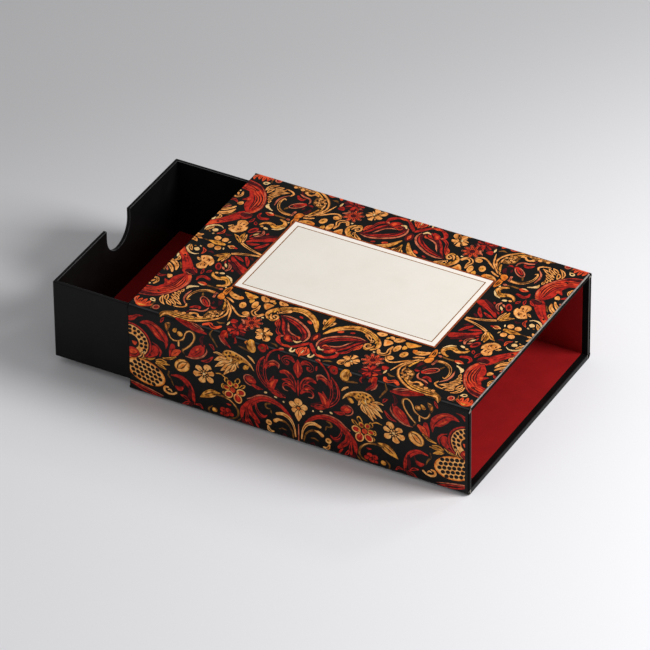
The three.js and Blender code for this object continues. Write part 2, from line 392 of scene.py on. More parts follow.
# %% Fold it into a closed mesh
def paper_piece(name, outline, creases, shapes, place, thickness_mm, inks, plain, spread=None):
    """A folded sheet: its printed face, its back and the cut edges between them.

    place(u, v, depth) gives a point on the box and the way that the paper faces there. inks maps
    each ink's name to its material, and the first one is the sheet's ground. plain holds the
    materials of the back and of the cut edges.
    """
    flat, front, rim, _ = cut_flat(outline, creases, shapes)
    flat_back, behind, _, back_rim = cut_flat([flat[k] for k in rim], creases)
    corners, facings, marks = [], [], []
    for points, depth, side in ((flat, 0, 1), (flat_back, thickness_mm, -1)):
        for u, v in points:
            at, out = place(u, v, depth)
            corners.append(Vector(at) * MM)
            facings.append(Vector(out) * side)
            marks.append((u, v, side))
    names = list(inks)
    faces = [tuple(triangle) for triangle, _ in front]
    slots = [names.index(shapes[top - 1][0]) if top else 0 for _, top in front]
    first_back = len(flat)
    faces += [tuple(first_back + k for k in reversed(triangle)) for triangle, _ in behind]
    back_rim = [first_back + k for k in back_rim]
    first_edge = len(faces)
    for k, a in enumerate(rim):
        faces.append((a, rim[k - 1], back_rim[k - 1], back_rim[k]))
    slots += [len(names)] * (first_edge - len(slots)) + [len(names) + 1] * (len(faces) - first_edge)

    a, b, c = faces[0]
    if (corners[b] - corners[a]).cross(corners[c] - corners[a]).dot(facings[a]) < 0:
        faces = [face[::-1] for face in faces]
    mesh = bpy.data.meshes.new(name)
    mesh.from_pydata(corners, [], faces)
    for material in (*inks.values(), *plain):
        mesh.materials.append(material)
    mesh.polygons.foreach_set("material_index", slots)
    mesh.polygons.foreach_set("use_smooth", [True] * len(faces))
    mesh.update()
    facing = []
    for polygon in mesh.polygons:
        edge = polygon.index >= first_edge
        facing += [polygon.normal if edge else facings[k] for k in polygon.vertices]
    mesh.normals_split_custom_set(facing)
    if spread:
        layer = mesh.uv_layers.new(name="OFBake")
        for loop in mesh.loops:
            layer.data[loop.index].uv = spread(*marks[loop.vertex_index])
    return link(bpy.data.objects.new(name, mesh))


# %% [markdown]
# The sleeve's printed sheet goes over the top and down both long sides, and is tucked under. At each
# mouth it folds over the ends of the boards as a narrow lip and turns in along their inner faces.
# It is slit at the long edges, where the folds of the top and the sides would meet.

# %% The printed sheet's folds
paper_mm = 0.2
wrap_low, wrap_high = corners_mm("sleeve_wrap")
half_length, half_width, sleeve_top = wrap_high
lap_mm = 55.07  # the top board's half width: the rounded long edge starts here
edge_radius = half_width - lap_mm
side_flat = sleeve_top - wrap_low.z - 2 * edge_radius
tuck_mm = 10.07
turn_in_mm = 15
lip_mm = 2.46  # the board with a sheet of paper on each face
lip_radius = 0.45
inner_radius = 0.28
slit_mm = 0.06
tab_taper_mm = 0.6
leg_taper_mm = 0.5
board_setback = 0.23  # from the mouth to the ends of the boards, where the tucked edges stop
fold_steps = 4  # flat strips round each small fold
edge_steps = 8  # and round a long edge of the sleeve
past_rim_mm = 1  # how far a crease line runs past the sheet, so that it cuts the rim too

over_edge = (
    (0, sleeve_top), 0,
    [(lap_mm, 0), round_turn(edge_radius), (side_flat, 0), round_turn(edge_radius), (tuck_mm, 0)],
)
around = [0]
for length, _ in over_edge[2]:
    around.append(around[-1] + length)
side_start, side_end, tuck_start, sheet_half = around[2:]
print("The flat sheet is", round(2 * sheet_half, 1), "mm round the sleeve")

# %% Fold it over the ends of the boards
def board_end(reach, depth_mm):
    """The path over a board's end: a lip and a turn-in. reach is where its outer face is."""
    return (
        (reach - lip_radius, 0), 0,
        [
            round_turn(lip_radius),
            (depth_mm - lip_radius - inner_radius, 0),
            round_turn(inner_radius),
            (turn_in_mm - inner_radius + paper_mm, 0),
        ],
    )


def board_end_creases(path):
    """The crease lines of such a path, counted from where the lip's round starts."""
    (outer, _), (flat, _), (inner, _), (last, _) = path[2]
    return turn_steps(0, outer, fold_steps) + turn_steps(outer + flat, inner, fold_steps)


mouth_fold = board_end(half_length, lip_mm)
flat_half = mouth_fold[0][0]
tab_end = flat_half + sum(length for length, _ in mouth_fold[2])
leg_top = side_start + 0.55  # the side's lip starts just under the top's turn-in
leg_foot = side_end - 0.33  # and ends just over the bottom board
print("Flat, the sheet is", round(2 * tab_end, 1), "mm long with its turn-ins")

# %% Carry a point from the flat sheet to the sleeve
def on_sleeve(u, v, depth):
    """From the flat printed sheet to the box. u runs along the slide, v round the sleeve."""
    beyond = abs(u) - flat_half
    folds_in = abs(v) < lap_mm - slit_mm / 2 or leg_top - slit_mm / 2 < abs(v) < leg_foot + slit_mm / 2
    if beyond > 0 and folds_in:
        x, height, out_x, out = folded(mouth_fold, beyond, depth)
    else:
        x, height, out_x, out = abs(u), -depth, 0, 1
    y, z, out_y, out_z = folded(over_edge, abs(v), -height)
    sign_x = -1 if u < 0 else 1
    sign_y = -1 if v < 0 else 1
    return (sign_x * x, sign_y * y, z), (sign_x * out_x, sign_y * out * out_y, out * out_z)


heights = [round(on_sleeve(0, v, 0)[0][2], 1) for v in (0, side_start, side_end, sheet_half)]
print("From its middle to its long edge the folded sheet lies at heights of", heights, "mm")

# %% The sheet's outline and creases
quarter = [
    (tab_end, lap_mm - 2 * tab_taper_mm),
    (tab_end - turn_in_mm, lap_mm - tab_taper_mm),
    (flat_half, lap_mm - slit_mm),
    (flat_half, lap_mm),
    (half_length, lap_mm),
    (half_length, leg_top - slit_mm),
    (flat_half, leg_top - slit_mm),
    (flat_half, leg_top),
    (tab_end, leg_top + leg_taper_mm),
    (tab_end, leg_foot - leg_taper_mm),
    (flat_half, leg_foot),
    (flat_half, leg_foot + slit_mm),
    (half_length, leg_foot + slit_mm),
    (half_length, tuck_start),
    (half_length - board_setback, tuck_start),
    (half_length - board_setback, sheet_half),
]
right_side = [(u, -v) for u, v in reversed(quarter)] + quarter
wrap_outline = right_side + [(-u, -v) for u, v in right_side]
wrap_creases = []
for along in board_end_creases(mouth_fold):
    for side in (-1, 1):
        u = side * (flat_half + along)
        wrap_creases.append(((u, -sheet_half - past_rim_mm), (u, sheet_half + past_rim_mm)))
for around_edge in (lap_mm, side_end):
    for v in turn_steps(around_edge, edge_radius * pi / 2, edge_steps):
        for side in (-1, 1):
            ends = [(end * (tab_end + past_rim_mm), side * v) for end in (-1, 1)]
            wrap_creases.append(tuple(ends))
print("It folds along", len(wrap_creases), "lines")

# %% [markdown]
# The print is a traditional one: scrolling leaves, pomegranates and little flowers in warm inks on
# black. It is drawn with a few pens, as a draughtsperson would. A stroke follows a smooth line and
# swells and thins, a patch is a closed smooth shape, and ovals and rings make dots and petals. Most
# have a thin black rim, which keeps one shape apart from the next.

# %% The inks' names
BLACK = "black_ink"
DEEP = "oxblood_ink"
RED = "red_ink"
CORAL = "coral_ink"
PINK = "dusty_pink_ink"
GOLD = "gold_ochre_ink"
ORANGE = "orange_ink"
PEACH = "peach_ink"
# The sides' peach: a lighter copy of the top's peach, painted light on the long sides.
SIDE_PEACH_LIT = "side_peach_painted_lighter"
CREAM = "cream_ink"
BROWN = "brown_ink"
UMBER = "umber_ink"
MATT = "matt_black_ink"
# The next three are pale greys painted along folds of the print: painted highlights.
INNER_FOLD_HIGHLIGHT = "painted_highlight_inner_fold"
MOUTH_FOLD_HIGHLIGHT = "rubbed_fold"
LONG_EDGE_HIGHLIGHT = "painted_highlight_long_edge"

# The ink of the veins in a stroke, by the ink of the stroke. The veins of all others are black.
VEINS_OF = {RED: DEEP, CORAL: DEEP, GOLD: UMBER, PEACH: UMBER, SIDE_PEACH_LIT: UMBER}

# A stroke that is broad enough and is given no veins gets some in these inks, to model it.
MODELLED_WITH = {**VEINS_OF, RED: BLACK, PINK: DEEP, ORANGE: UMBER}
broad_mm = 1.2
very_broad_mm = 2.4
rim_mm = 0.3
thin_rim_mm = 0.2
hair_rim_mm = 0.15
print("A stroke gets veins from", broad_mm, "mm on, and two of them from", very_broad_mm, "mm on")

# %% A smooth line
def curve(points, closed=False, step_mm=0.6):
    """Points along a smooth line through the given ones, which bends most where they turn most."""
    count = len(points)

    def at(place):
        return points[place % count] if closed else points[min(max(place, 0), count - 1)]

    def heading(place):
        before, here, after = at(place - 1), at(place), at(place + 1)
        reach = hypot(here[0] - before[0], here[1] - before[1])
        reach += hypot(after[0] - here[0], after[1] - here[1])
        return (after[0] - before[0]) / reach, (after[1] - before[1]) / reach

    found = []
    for place in range(count if closed else count - 1):
        start, end = at(place), at(place + 1)
        leaving, arriving = heading(place), heading(place + 1)
        span = hypot(end[0] - start[0], end[1] - start[1])
        steps = max(2, ceil(span / step_mm))
        for step in range(steps):
            t = step / steps
            ahead = t * t * (3 - 2 * t)
            out = t * (1 - t) ** 2 * span
            home = t * t * (t - 1) * span
            found.append(tuple(
                start[a] + (end[a] - start[a]) * ahead + leaving[a] * out + arriving[a] * home
                for a in (0, 1)
            ))
    return found if closed else found + [points[-1]]


bow = curve([(0, 0), (3, 1), (6, 0)])
print("A bow through three points has", len(bow), "points")

# %% A swelling width
def blend(values, t):
    """A value between the listed ones, which are spread evenly from t = 0 to t = 1."""
    place = t * (len(values) - 1)
    first = min(int(place), len(values) - 2)
    before = values[max(first - 1, 0)]
    start, end = values[first], values[first + 1]
    after = values[min(first + 2, len(values) - 1)]
    leaving = (end - before) / (2 if first else 1)
    arriving = (after - start) / (2 if first < len(values) - 2 else 1)
    t = place - first
    ahead = t * t * (3 - 2 * t)
    bent = leaving * t * (1 - t) ** 2 + arriving * t * t * (t - 1)
    return max(start + (end - start) * ahead + bent, 0)


print("A quarter along a stroke of 1, 3 and 2 mm it is", round(blend((1, 3, 2), 0.25), 2), "mm wide")

# %% Fewer points on an outline
def thinned(outline, tolerance_mm=0.045):
    """The closed outline without the points that it does without."""
    def kept(first, last):
        (x0, y0), (x1, y1) = outline[first], outline[last % len(outline)]
        length = hypot(x1 - x0, y1 - y0) or 1
        worst, place = tolerance_mm, None
        for k in range(first + 1, last):
            x, y = outline[k]
            away = abs((x1 - x0) * (y - y0) - (y1 - y0) * (x - x0)) / length
            if length == 1:
                away = hypot(x - x0, y - y0)
            if away > worst:
                worst, place = away, k
        if place is None:
            return []
        return kept(first, place) + [place] + kept(place, last)

    middle = len(outline) // 2
    places = [0] + kept(0, middle) + [middle] + kept(middle, len(outline))
    return [outline[k] for k in places]


print("The bow keeps", len(thinned(bow)), "of its", len(bow), "points")

# %% The outline of a stroke
def ribbon(rails, grow):
    """The outline of a stroke from its middle line, its headings and its half widths.

    The inner edge of a bend comes no nearer to the bend's centre than a tenth of its radius. An
    end narrower than pointed_mm is a point and any other a round cap, finer if it is wide.
    """
    pointed_mm = 0.15
    wide_cap_mm = 0.4
    bend_share = 0.9
    straight_mm = 1e3
    left, right = [], []
    last = len(rails) - 1
    for k, (x, y, along, half) in enumerate(rails):
        before, after = rails[max(k - 1, 0)], rails[min(k + 1, last)]
        turn = (after[2] - before[2] + pi) % (2 * pi) - pi
        length = hypot(after[0] - before[0], after[1] - before[1])
        tightest = bend_share * length / abs(turn) if turn else straight_mm
        half += grow
        on_left = min(half, tightest) if turn > 0 else half
        on_right = min(half, tightest) if turn < 0 else half
        left.append((x - sin(along) * on_left, y + cos(along) * on_left))
        right.append((x + sin(along) * on_right, y - cos(along) * on_right))

    def cap(rail, forwards):
        x, y, along, half = rail
        half += grow
        if half < pointed_mm:
            return [(x, y)]
        start = along + (-pi / 2 if forwards else pi / 2)
        shares = (0.2, 0.4, 0.6, 0.8) if half > wide_cap_mm else (0.33, 0.67)
        return [
            (x + cos(start + pi * t) * half, y + sin(start + pi * t) * half) for t in shares
        ]

    pointed_start = rails[0][3] + grow < pointed_mm
    pointed_end = rails[-1][3] + grow < pointed_mm
    right = right[pointed_start:len(right) - pointed_end]
    left = left[pointed_start:len(left) - pointed_end]
    return right + cap(rails[-1], True) + left[::-1] + cap(rails[0], False)


bar = [(0, 0, 0, 1), (4, 0, 0, 1)]
print("A straight bar of ink with round ends has", len(ribbon(bar, 0)), "corners")

# %% The outlines of spots
def ellipse(centre, wide, high, tilt):
    """The outline of an oval spot, tilted by so many degrees."""
    fewest_steps, steps_per_mm = 8, 2.2
    steps = max(fewest_steps, ceil((wide + high) * steps_per_mm))
    turn = radians(tilt)
    outline = []
    for k in range(steps):
        a = 2 * pi * k / steps
        x, y = cos(a) * wide / 2, sin(a) * high / 2
        outline.append((
            centre[0] + x * cos(turn) - y * sin(turn),
            centre[1] + x * sin(turn) + y * cos(turn),
        ))
    return outline


def anticlockwise(outline):
    return sum(a[0] * b[1] - b[0] * a[1] for a, b in zip(outline, outline[1:] + outline[:1])) > 0


def grown(outline, by):
    """The closed outline moved outwards."""
    by = by if anticlockwise(outline) else -by
    moved = []
    for k, (x, y) in enumerate(outline):
        before, after = outline[k - 1], outline[(k + 1) % len(outline)]
        along = atan2(after[1] - before[1], after[0] - before[0])
        moved.append((x + sin(along) * by, y - cos(along) * by))
    return moved


print("A spot 2 mm wide has", len(ellipse((0, 0), 2, 2, 0)), "corners")

# %% The list of painted shapes
# The printed shapes in the order in which they are painted, each an ink and a closed outline.
painted = []


def fill(ink, outline):
    """Paint a closed outline, turned so that it runs anticlockwise."""
    painted.append((ink, thinned(outline if anticlockwise(outline) else outline[::-1])))


def brush(ink, trail, widths, rim=0):
    """A band of ink along a line of close points. widths swell from its start to its end."""
    rails = []
    last = len(trail) - 1
    for k, (x, y) in enumerate(trail):
        before, after = trail[max(k - 1, 0)], trail[min(k + 1, last)]
        heading = atan2(after[1] - before[1], after[0] - before[0])
        rails.append((x, y, heading, blend(widths, k / last) / 2))
    if rim:
        fill(BLACK, ribbon(rails, rim))
    fill(ink, ribbon(rails, 0))
    return rails


print("So far", len(painted), "shapes are painted")

# %% The pens for lines and strokes
def line(ink, points, widths):
    """A brush stroke along a smooth line, without a rim or veins."""
    brush(ink, curve(points), widths)


def stroke(ink, points, widths, rim=rim_mm, veins=(), vein_ink=None, vein_mm=0.3):
    """A brush stroke with a dark rim and with thin veins, at shares of its half width."""
    rails = brush(ink, curve(points), widths, rim)
    margin = len(rails) // 6
    vein_ink = vein_ink or VEINS_OF.get(ink, BLACK)
    if not veins and max(widths) >= broad_mm and ink in MODELLED_WITH:
        two_veins = max(widths) > very_broad_mm
        veins = (-0.34, 0.26) if two_veins else (0,)
        vein_ink = MODELLED_WITH[ink]
        vein_mm = max(widths) * (0.23 if two_veins else 0.38)
    for share in veins:
        vein = [
            (x - sin(heading) * half * share, y + cos(heading) * half * share)
            for x, y, heading, half in rails[margin:len(rails) - margin]
        ]
        brush(vein_ink, vein, (0, vein_mm, vein_mm, 0))


def fine_stroke(ink, points, widths, veins=()):
    """A stroke whose rim is thin."""
    stroke(ink, points, widths, thin_rim_mm, veins)


stroke(RED, [(0, 0), (3, 1), (6, 0)], (0.4, 2, 0.4))
print("A broad red stroke is painted in", ", ".join(ink for ink, _ in painted))

# %% The pens for spots and petals
def wash(ink, points):
    """A filled shape with a smooth edge through the given points."""
    fill(ink, curve(points, closed=True))


def patch(ink, points):
    """A wash with a dark rim."""
    fill(BLACK, grown(curve(points, closed=True), rim_mm))
    wash(ink, points)


def dot(ink, centre, wide, high=None, tilt=0):
    """A round or oval spot, tilted by so many degrees."""
    fill(ink, ellipse(centre, wide, high or wide, tilt))


def oval(ink, centre, wide, high=None, tilt=0, rim=rim_mm):
    """A dot with a dark rim."""
    fill(BLACK, grown(ellipse(centre, wide, high or wide, tilt), rim))
    dot(ink, centre, wide, high, tilt)


def ring(ink, centre, wide, high, tilt, band, inside=BLACK):
    """An oval with a band of ink round another ink."""
    oval(ink, centre, wide, high, tilt)
    dot(inside, centre, wide - 2 * band, high - 2 * band, tilt)


def ray(centre, turn, reaches):
    """Points at some distances from a centre, all in one direction in degrees."""
    way = (cos(radians(turn)), sin(radians(turn)))
    return [(centre[0] + way[0] * reach, centre[1] + way[1] * reach) for reach in reaches]


def petal_gaps(centre, turns, reaches, widths):
    """Black rays that part the petals round a centre."""
    for turn in turns:
        line(BLACK, ray(centre, turn, reaches), widths)


def flower(ink, centre, petals, reach, width, start, heart, slit):
    """Petals round a heart, each a leaf with a dark slit at its foot."""
    for k in range(petals):
        a = radians(start + 360 * k / petals)
        foot, middle, tip = [
            (centre[0] + cos(a) * reach * share, centre[1] + sin(a) * reach * share)
            for share in (0.22, 0.62, 1)
        ]
        stroke(ink, [foot, tip], (width * 0.4, width, width * 0.75))
        if slit:
            line(slit, [foot, middle], (0.35, 0.3, 0))
    if heart:
        oval(heart, centre, reach * 0.5)


print("A ray straight up goes by", [(round(x), round(y)) for x, y in ray((0, 0), 90, (1, 2))])

# %% [markdown]
# The top's motifs come next, in millimetres on the flat sheet, for the quarter at the near left. The
# label covers the middle. Each motif is a list of strokes from the largest form to the finest line,
# and a cell ends by taking up the shapes that it painted.

# %% Take up a motif
def motif(name):
    """The shapes painted since the last motif was taken up."""
    shapes = list(painted)
    painted.clear()
    print(len(shapes), "shapes make the", name)
    return shapes


motif("stroke above")

# %% The top's red frond
stroke(RED, [(-84, -8.5), (-79, -13), (-75, -17.5), (-71.3, -23)], (4.2, 3.2, 4.2, 5.2), veins=(-0.3, 0.35))
line(CORAL, [(-84, -8.6), (-79.5, -12.2), (-76.5, -15)], (2.6, 2.4, 0))
dot(BLACK, (-78.3, -13.4), 1.5, 1, -40)
patch(RED, [
    (-69, -25.6), (-67.5, -26.6), (-66.3, -30), (-66.5, -34), (-68, -38.5), (-71, -43), (-75, -46.3),
    (-79, -47.6), (-85, -48), (-85, -41.6), (-80.5, -40.6), (-77.5, -40), (-76.3, -38), (-75.5, -36.4),
    (-77.2, -33), (-75, -33.4), (-74.8, -31.2), (-74.2, -29.3), (-72.6, -27), (-71.3, -25.6),
])
line(PINK, [
    (-68, -26.8), (-66.9, -30), (-67.1, -34), (-68.6, -38.4), (-71.4, -42.6), (-75.2, -45.7), (-79, -46.9),
    (-84, -47.3),
], (0.9, 0.5, 0.6, 0.5, 0.9))
line(DEEP, [(-71.5, -42.6), (-75, -45), (-79, -46), (-84, -46.3)], (0, 1.4, 2.2, 2.6))
for out, ends in ((1.25, 0), (2.4, 0.8), (3.7, 1.4)):
    line(BLACK, [
        (-68.4 - out * 0.6, -28 + ends), (-67.1 - out, -31.5), (-67.5 - out, -35.5),
        (-69 - out, -39 + out * 0.3), (-71.6 - out * 0.8, -42 + out * 0.9),
    ], (0, 0.55, 0.5, 0.5, 0))
line(BLACK, [
    (-70.4, -26.6), (-71.3, -29.5), (-71.8, -33.5), (-73.6, -37.5), (-76, -39.4),
], (0, 0.4, 0.45, 0.45, 0))
for out in (0.6, 1.9, 3.1):
    line(CORAL, [
        (-68.6 - out * 0.6, -28.4), (-67.2 - out, -31.6), (-67.6 - out, -35.5),
        (-69.1 - out, -39 + out * 0.3), (-71.7 - out * 0.8, -41.9 + out * 0.9), (-76, -44.4 + out),
        (-84, -45.4 + out * 1.1),
    ], (0, 0.4, 0.45, 0.45, 0.45, 0.45, 0.6))
wash(CORAL, [(-75.4, -34.4), (-74, -33.6), (-73.8, -35), (-74.5, -35.6)])
line(BLACK, [(-84, -44.6), (-80, -44.4), (-76.4, -43.4), (-73.8, -41)], (0.5, 0.4, 0.5, 0))
line(BLACK, [(-84, -42), (-80.6, -41.8), (-77.4, -40.8)], (0.3, 0.45, 0))
line(CORAL, [(-68.6, -26.4), (-67.6, -29), (-67.3, -32)], (1.6, 0.6, 0))
line(BLACK, [(-76, -41.5), (-74.5, -42.6), (-73.4, -42)], (0, 0.9, 0))
oval(DEEP, (-69.6, -23.6), 5.4, 3.1, -12)
line(BLACK, [(-71.6, -23.2), (-69.5, -24.3), (-67.6, -24.2)], (0, 0.7, 0))
line(PINK, [(-71.8, -24.3), (-69.8, -25.1), (-68, -25)], (0, 0.45, 0))
stroke(RED, [(-70.5, -20.3), (-68.8, -21.3), (-67.2, -23)], (0.6, 1.4, 0.5), veins=(0,))
red_frond = motif("red frond")

# %% The top's peach leaves at the edge
stroke(PEACH, [(-84, -18.8), (-80, -20), (-77.3, -22.3), (-76.2, -25)], (2, 2.2, 2, 0.8), veins=(0.2,))
stroke(PEACH, [(-84, -21.6), (-80.5, -23), (-78, -25.3), (-77, -27)], (1.4, 1.6, 1.5, 0.8), veins=(-0.2,))
stroke(PINK, [(-84, -23.6), (-81.3, -24.8), (-79.4, -26.8)], (1.1, 1.3, 0.7))
stroke(BROWN, [(-83.5, -25.6), (-81.4, -26.4), (-80.4, -27.6)], (0.9, 1, 0.5))
stroke(BROWN, [(-77.3, -19.3), (-75.8, -21), (-74.9, -23)], (0.5, 1, 0.4))
patch(PEACH, [(-77.8, -29.6), (-75.9, -29), (-75.1, -30.5), (-76, -31.8), (-77, -31.2)])
stroke(RED, [(-84, -29.6), (-81.5, -31.2), (-79.8, -31.6), (-78.1, -30.4)], (1.2, 1.1, 1.5, 0.6))
stroke(PEACH, [(-82.4, -34.3), (-80.3, -34), (-79, -36), (-79.6, -38.3)], (0.9, 1.1, 1.2, 0.8))
stroke(PEACH, [(-80.6, -35.8), (-81.3, -37), (-82.6, -37.2)], (0.8, 1, 0.8))
oval(CREAM, (-81.4, -38.9), 1.3, 1.1)
stroke(CREAM, [(-84, -13), (-81.5, -13.6), (-80.7, -15.6)], (0.7, 1.1, 0.9))
stroke(PEACH, [(-79.9, -15.4), (-79.2, -17.3), (-80.2, -18.7)], (0.9, 1.5, 0.7))
edge_palmette = motif("edge palmette")

# %% The top's feather and small scrolls
for points, width in (
    ([(-65.8, -36.2), (-66.2, -38.6)], 1.2),
    ([(-67.3, -38.2), (-65.8, -40.4)], 1.3),
    ([(-68.4, -40), (-66.8, -40.8), (-65.1, -42)], 1.3),
    ([(-68.6, -41.7), (-66.4, -42.3), (-64.2, -43.6)], 1.4),
    ([(-68.3, -43.2), (-65, -45), (-61.2, -46.9)], 1.5),
    ([(-67.8, -45.4), (-65.4, -46.4), (-63.4, -48.2)], 1.4),
    ([(-68.8, -46.4), (-67, -47.8), (-65, -49.2)], 1.5),
    ([(-70, -42.6), (-69.6, -45), (-68.5, -46.8)], 1.7),
    ([(-71.6, -44), (-71.2, -46.6), (-69.8, -48.6), (-67.9, -49.9)], 1.3),
):
    stroke(PEACH, points, (0.4, width + 0.2, width + 0.2, 0.3))
stroke(PEACH, [
    (-59.9, -45), (-59.1, -46.6), (-60.1, -48), (-62.4, -48.8), (-64, -48.9),
], (0.7, 0.9, 0.8, 0.7, 0.3))
stroke(CREAM, [(-65.2, -35.2), (-65, -33.6), (-63.4, -32.4), (-61.5, -31.5)], (0.6, 1.7, 0.9, 0.6))
stroke(PINK, [(-62.6, -35.6), (-63.1, -39.2), (-62.4, -42.5), (-60.2, -45.2)], (0.3, 0.9, 0.8, 0.3))
stroke(PEACH, [
    (-52.2, -32.3), (-56, -32.2), (-59.4, -33.9), (-61.2, -37), (-61.6, -40), (-61, -42.2), (-60, -41.6),
], (1.5, 1.5, 1.3, 1.1, 1, 0.9, 0.4))
line(BROWN, [(-53.4, -32.9), (-56.5, -32.9), (-59.3, -34.7), (-60.8, -37.5)], (0.3, 0.6, 0.5, 0))
stroke(PINK, [(-52.3, -31.9), (-52.2, -33.6), (-51.9, -35.2)], (0.7, 0.9, 1.2))
line(BROWN, [(-57.3, -35), (-56.6, -36.4)], (0.6, 1))
stroke(RED, [(-64.7, -27.4), (-64.8, -25.4), (-63, -24), (-60, -24.9)], (0.7, 1.4, 1.7, 1.4), veins=(0.2,))
stroke(BROWN, [(-59.6, -28.9), (-55.5, -29), (-52, -28.6)], (1, 0.9, 0.9))
oval(PINK, (-52.1, -28.7), 2, 1.4, 10)
patch(CORAL, [(-63.3, -29), (-61, -27.5), (-58.9, -28.6), (-60.4, -30)])
line(CREAM, [(-62.8, -29.2), (-61, -29.7), (-59.6, -29.3)], (0, 0.8, 0))
line(DEEP, [(-62.2, -28.6), (-60.4, -28.4)], (0, 0.6, 0))
feather = motif("feather")

# %% The top's gold crescent
# It curls round a rose. Its body is one patch, modelled with long strokes of gold, peach and black.
ring(PINK, (-53.5, -39.9), 8, 3.8, -42, 0.55)
dot(RED, (-53.2, -40.3), 5.4, 1.9, -42)
line(BLACK, [(-55, -38.6), (-53.4, -40.4), (-51.6, -41.8)], (0, 0.6, 0))
line(RED, [(-52.4, -42), (-51, -42.4), (-50, -41.7)], (0.6, 1.4, 0.4))
for points, width in (
    ([(-48.6, -36.6), (-47.4, -38), (-46.9, -40)], 1.3),
    ([(-50.2, -38), (-49.8, -40.2)], 1.1),
    ([(-49.6, -42.4), (-48.2, -42.2), (-46.8, -41.2)], 1.4),
):
    stroke(DEEP, points, (0.4, width, 0.4))
line(RED, [(-49.4, -41.9), (-48.2, -42.6), (-47.2, -42.3)], (0, 0.9, 0.5))
stroke(RED, [
    (-56.8, -46.6), (-55.6, -45.3), (-53.8, -44.8), (-52.9, -45.8),
], (1, 1.5, 1.6, 0.8), veins=(-0.2,))
stroke(PINK, [
    (-56.4, -48.3), (-54.2, -47.3), (-51.4, -46.9), (-50, -45.3), (-49.8, -43.4),
], (0.4, 0.9, 0.9, 0.8, 0.3))
line(DEEP, [(-56.7, -50.8), (-56, -49), (-54.4, -48.2)], (0.4, 0.8, 0.3))
patch(BROWN, [
    (-66.6, -56.7), (-66.2, -54.9), (-64.8, -53.6), (-62.6, -52.6), (-60.2, -51.6), (-58, -51.6),
    (-56, -51.2), (-54.8, -49.8), (-53, -48.9), (-51.4, -50), (-49.4, -49.4), (-48.9, -47.4),
    (-48.7, -45.4), (-47, -43.3), (-44.9, -43), (-43.6, -41.2), (-43.6, -38.6), (-45.6, -36.2),
    (-44, -36.6), (-41.8, -39.6), (-40.4, -43), (-40.6, -46.2), (-42.6, -49.7), (-46.3, -53),
    (-51.5, -55.6), (-58, -56.3), (-63, -55.9), (-65, -57),
])
line(GOLD, [
    (-64, -54.4), (-58, -54.8), (-52, -54), (-47.2, -51.5), (-43.6, -48), (-42, -44.8), (-42.6, -41),
], (0.5, 1.5, 1.7, 1.7, 1.8, 1.8, 0.5))
line(UMBER, [
    (-60, -52.8), (-56, -53), (-52, -52.4), (-48.8, -50.4), (-46.4, -47.6),
], (0, 0.45, 0.5, 0.45, 0))
line(PEACH, [
    (-65.8, -57.4), (-64, -55.2), (-58, -55.7), (-51.6, -55), (-46.6, -52.4), (-43, -49), (-41.2, -45.6),
    (-41, -43), (-42.2, -40), (-44, -37.6),
], (0.5, 0.9, 0.7, 0.8, 0.7, 0.7, 0.7, 0.6, 0.3))
line(BLACK, [
    (-64.6, -54.4), (-58.4, -55), (-52, -54.3), (-47.2, -51.6), (-43.7, -48.2), (-42.1, -45.2),
    (-42, -42.6), (-43, -40.2),
], (0, 0.6, 0.65, 0.6, 0.8, 1.2, 1.1, 0))
print("The crescent's body has", len(painted), "shapes")

# %% The crescent's pebbles, stems and leaf
for k in range(7):
    x = -61.2 + k * 1.75
    y = -53 + 0.28 * (k - 3) if k > 3 else -53
    line(PEACH, [(x - 0.7, y), (x + 0.7, y + 0.15)], (0.3, 0.6, 0.3))
for centre, size in (
    ((-60.9, -52), 1.5), ((-57.3, -51.7), 1.7), ((-49.6, -50.7), 1.8), ((-54.6, -50.3), 1.4),
):
    oval(PEACH, centre, size * 1.2, size, 15, rim=thin_rim_mm)
line(PEACH, [
    (-54.6, -51), (-53.6, -49.6), (-51.8, -49.6), (-50.8, -51), (-49, -50.6),
], (0.7, 1, 0.9, 1, 0.6))
for centre, size in (
    ((-46, -44.4), 1.5), ((-47.6, -45.8), 1.5), ((-46.2, -46.2), 1.3), ((-44.6, -45.2), 1.4),
    ((-47.2, -47.6), 1.4), ((-45.2, -47.6), 1.5), ((-43.6, -47), 1.3), ((-46.9, -49.2), 1.6),
    ((-44.9, -49.2), 1.2),
):
    oval(PEACH, centre, size, rim=thin_rim_mm)
    dot(BROWN, centre, size * 0.35)
fine_stroke(PEACH, [(-43.2, -42.4), (-42.8, -44.4), (-43, -46)], (0.3, 0.8, 0.3))
for spot in (
    ((-52.4, -51), 3, 1.6, -20), ((-49.6, -49.8), 2.2, 1.2, 20), ((-47.6, -47.4), 1.4, 1.2, 0),
    ((-44.4, -45.8), 1.2, 1.7, 20), ((-43.6, -42.2), 1.3, 1.7, 0),
):
    dot(BLACK, *spot)
stroke(GOLD, [(-45.8, -36.3), (-44.6, -38.6), (-43.9, -41.2)], (0.6, 1, 0.8))
stroke(PEACH, [
    (-47.6, -34.2), (-44, -36.5), (-40.5, -38.7), (-37.5, -41.2), (-35, -42.3), (-33, -41.5),
    (-32.3, -39.8),
], (0.9, 0.9, 0.9, 0.8, 0.8, 0.9, 0.9))
stroke(PEACH, [(-46.6, -32.9), (-44.6, -33.6), (-42.6, -34.8)], (0.7, 1, 0.7))
stroke(PEACH, [
    (-45.3, -35), (-43, -37.6), (-40.6, -40.6), (-39.2, -44.4), (-38.2, -47.8),
], (0.6, 0.8, 0.7, 0.7, 0.2))
oval(PEACH, (-34, -39.5), 3.2, 2.9, 20)
dot(GOLD, (-34.1, -39.3), 1.6, 1.4, 20)
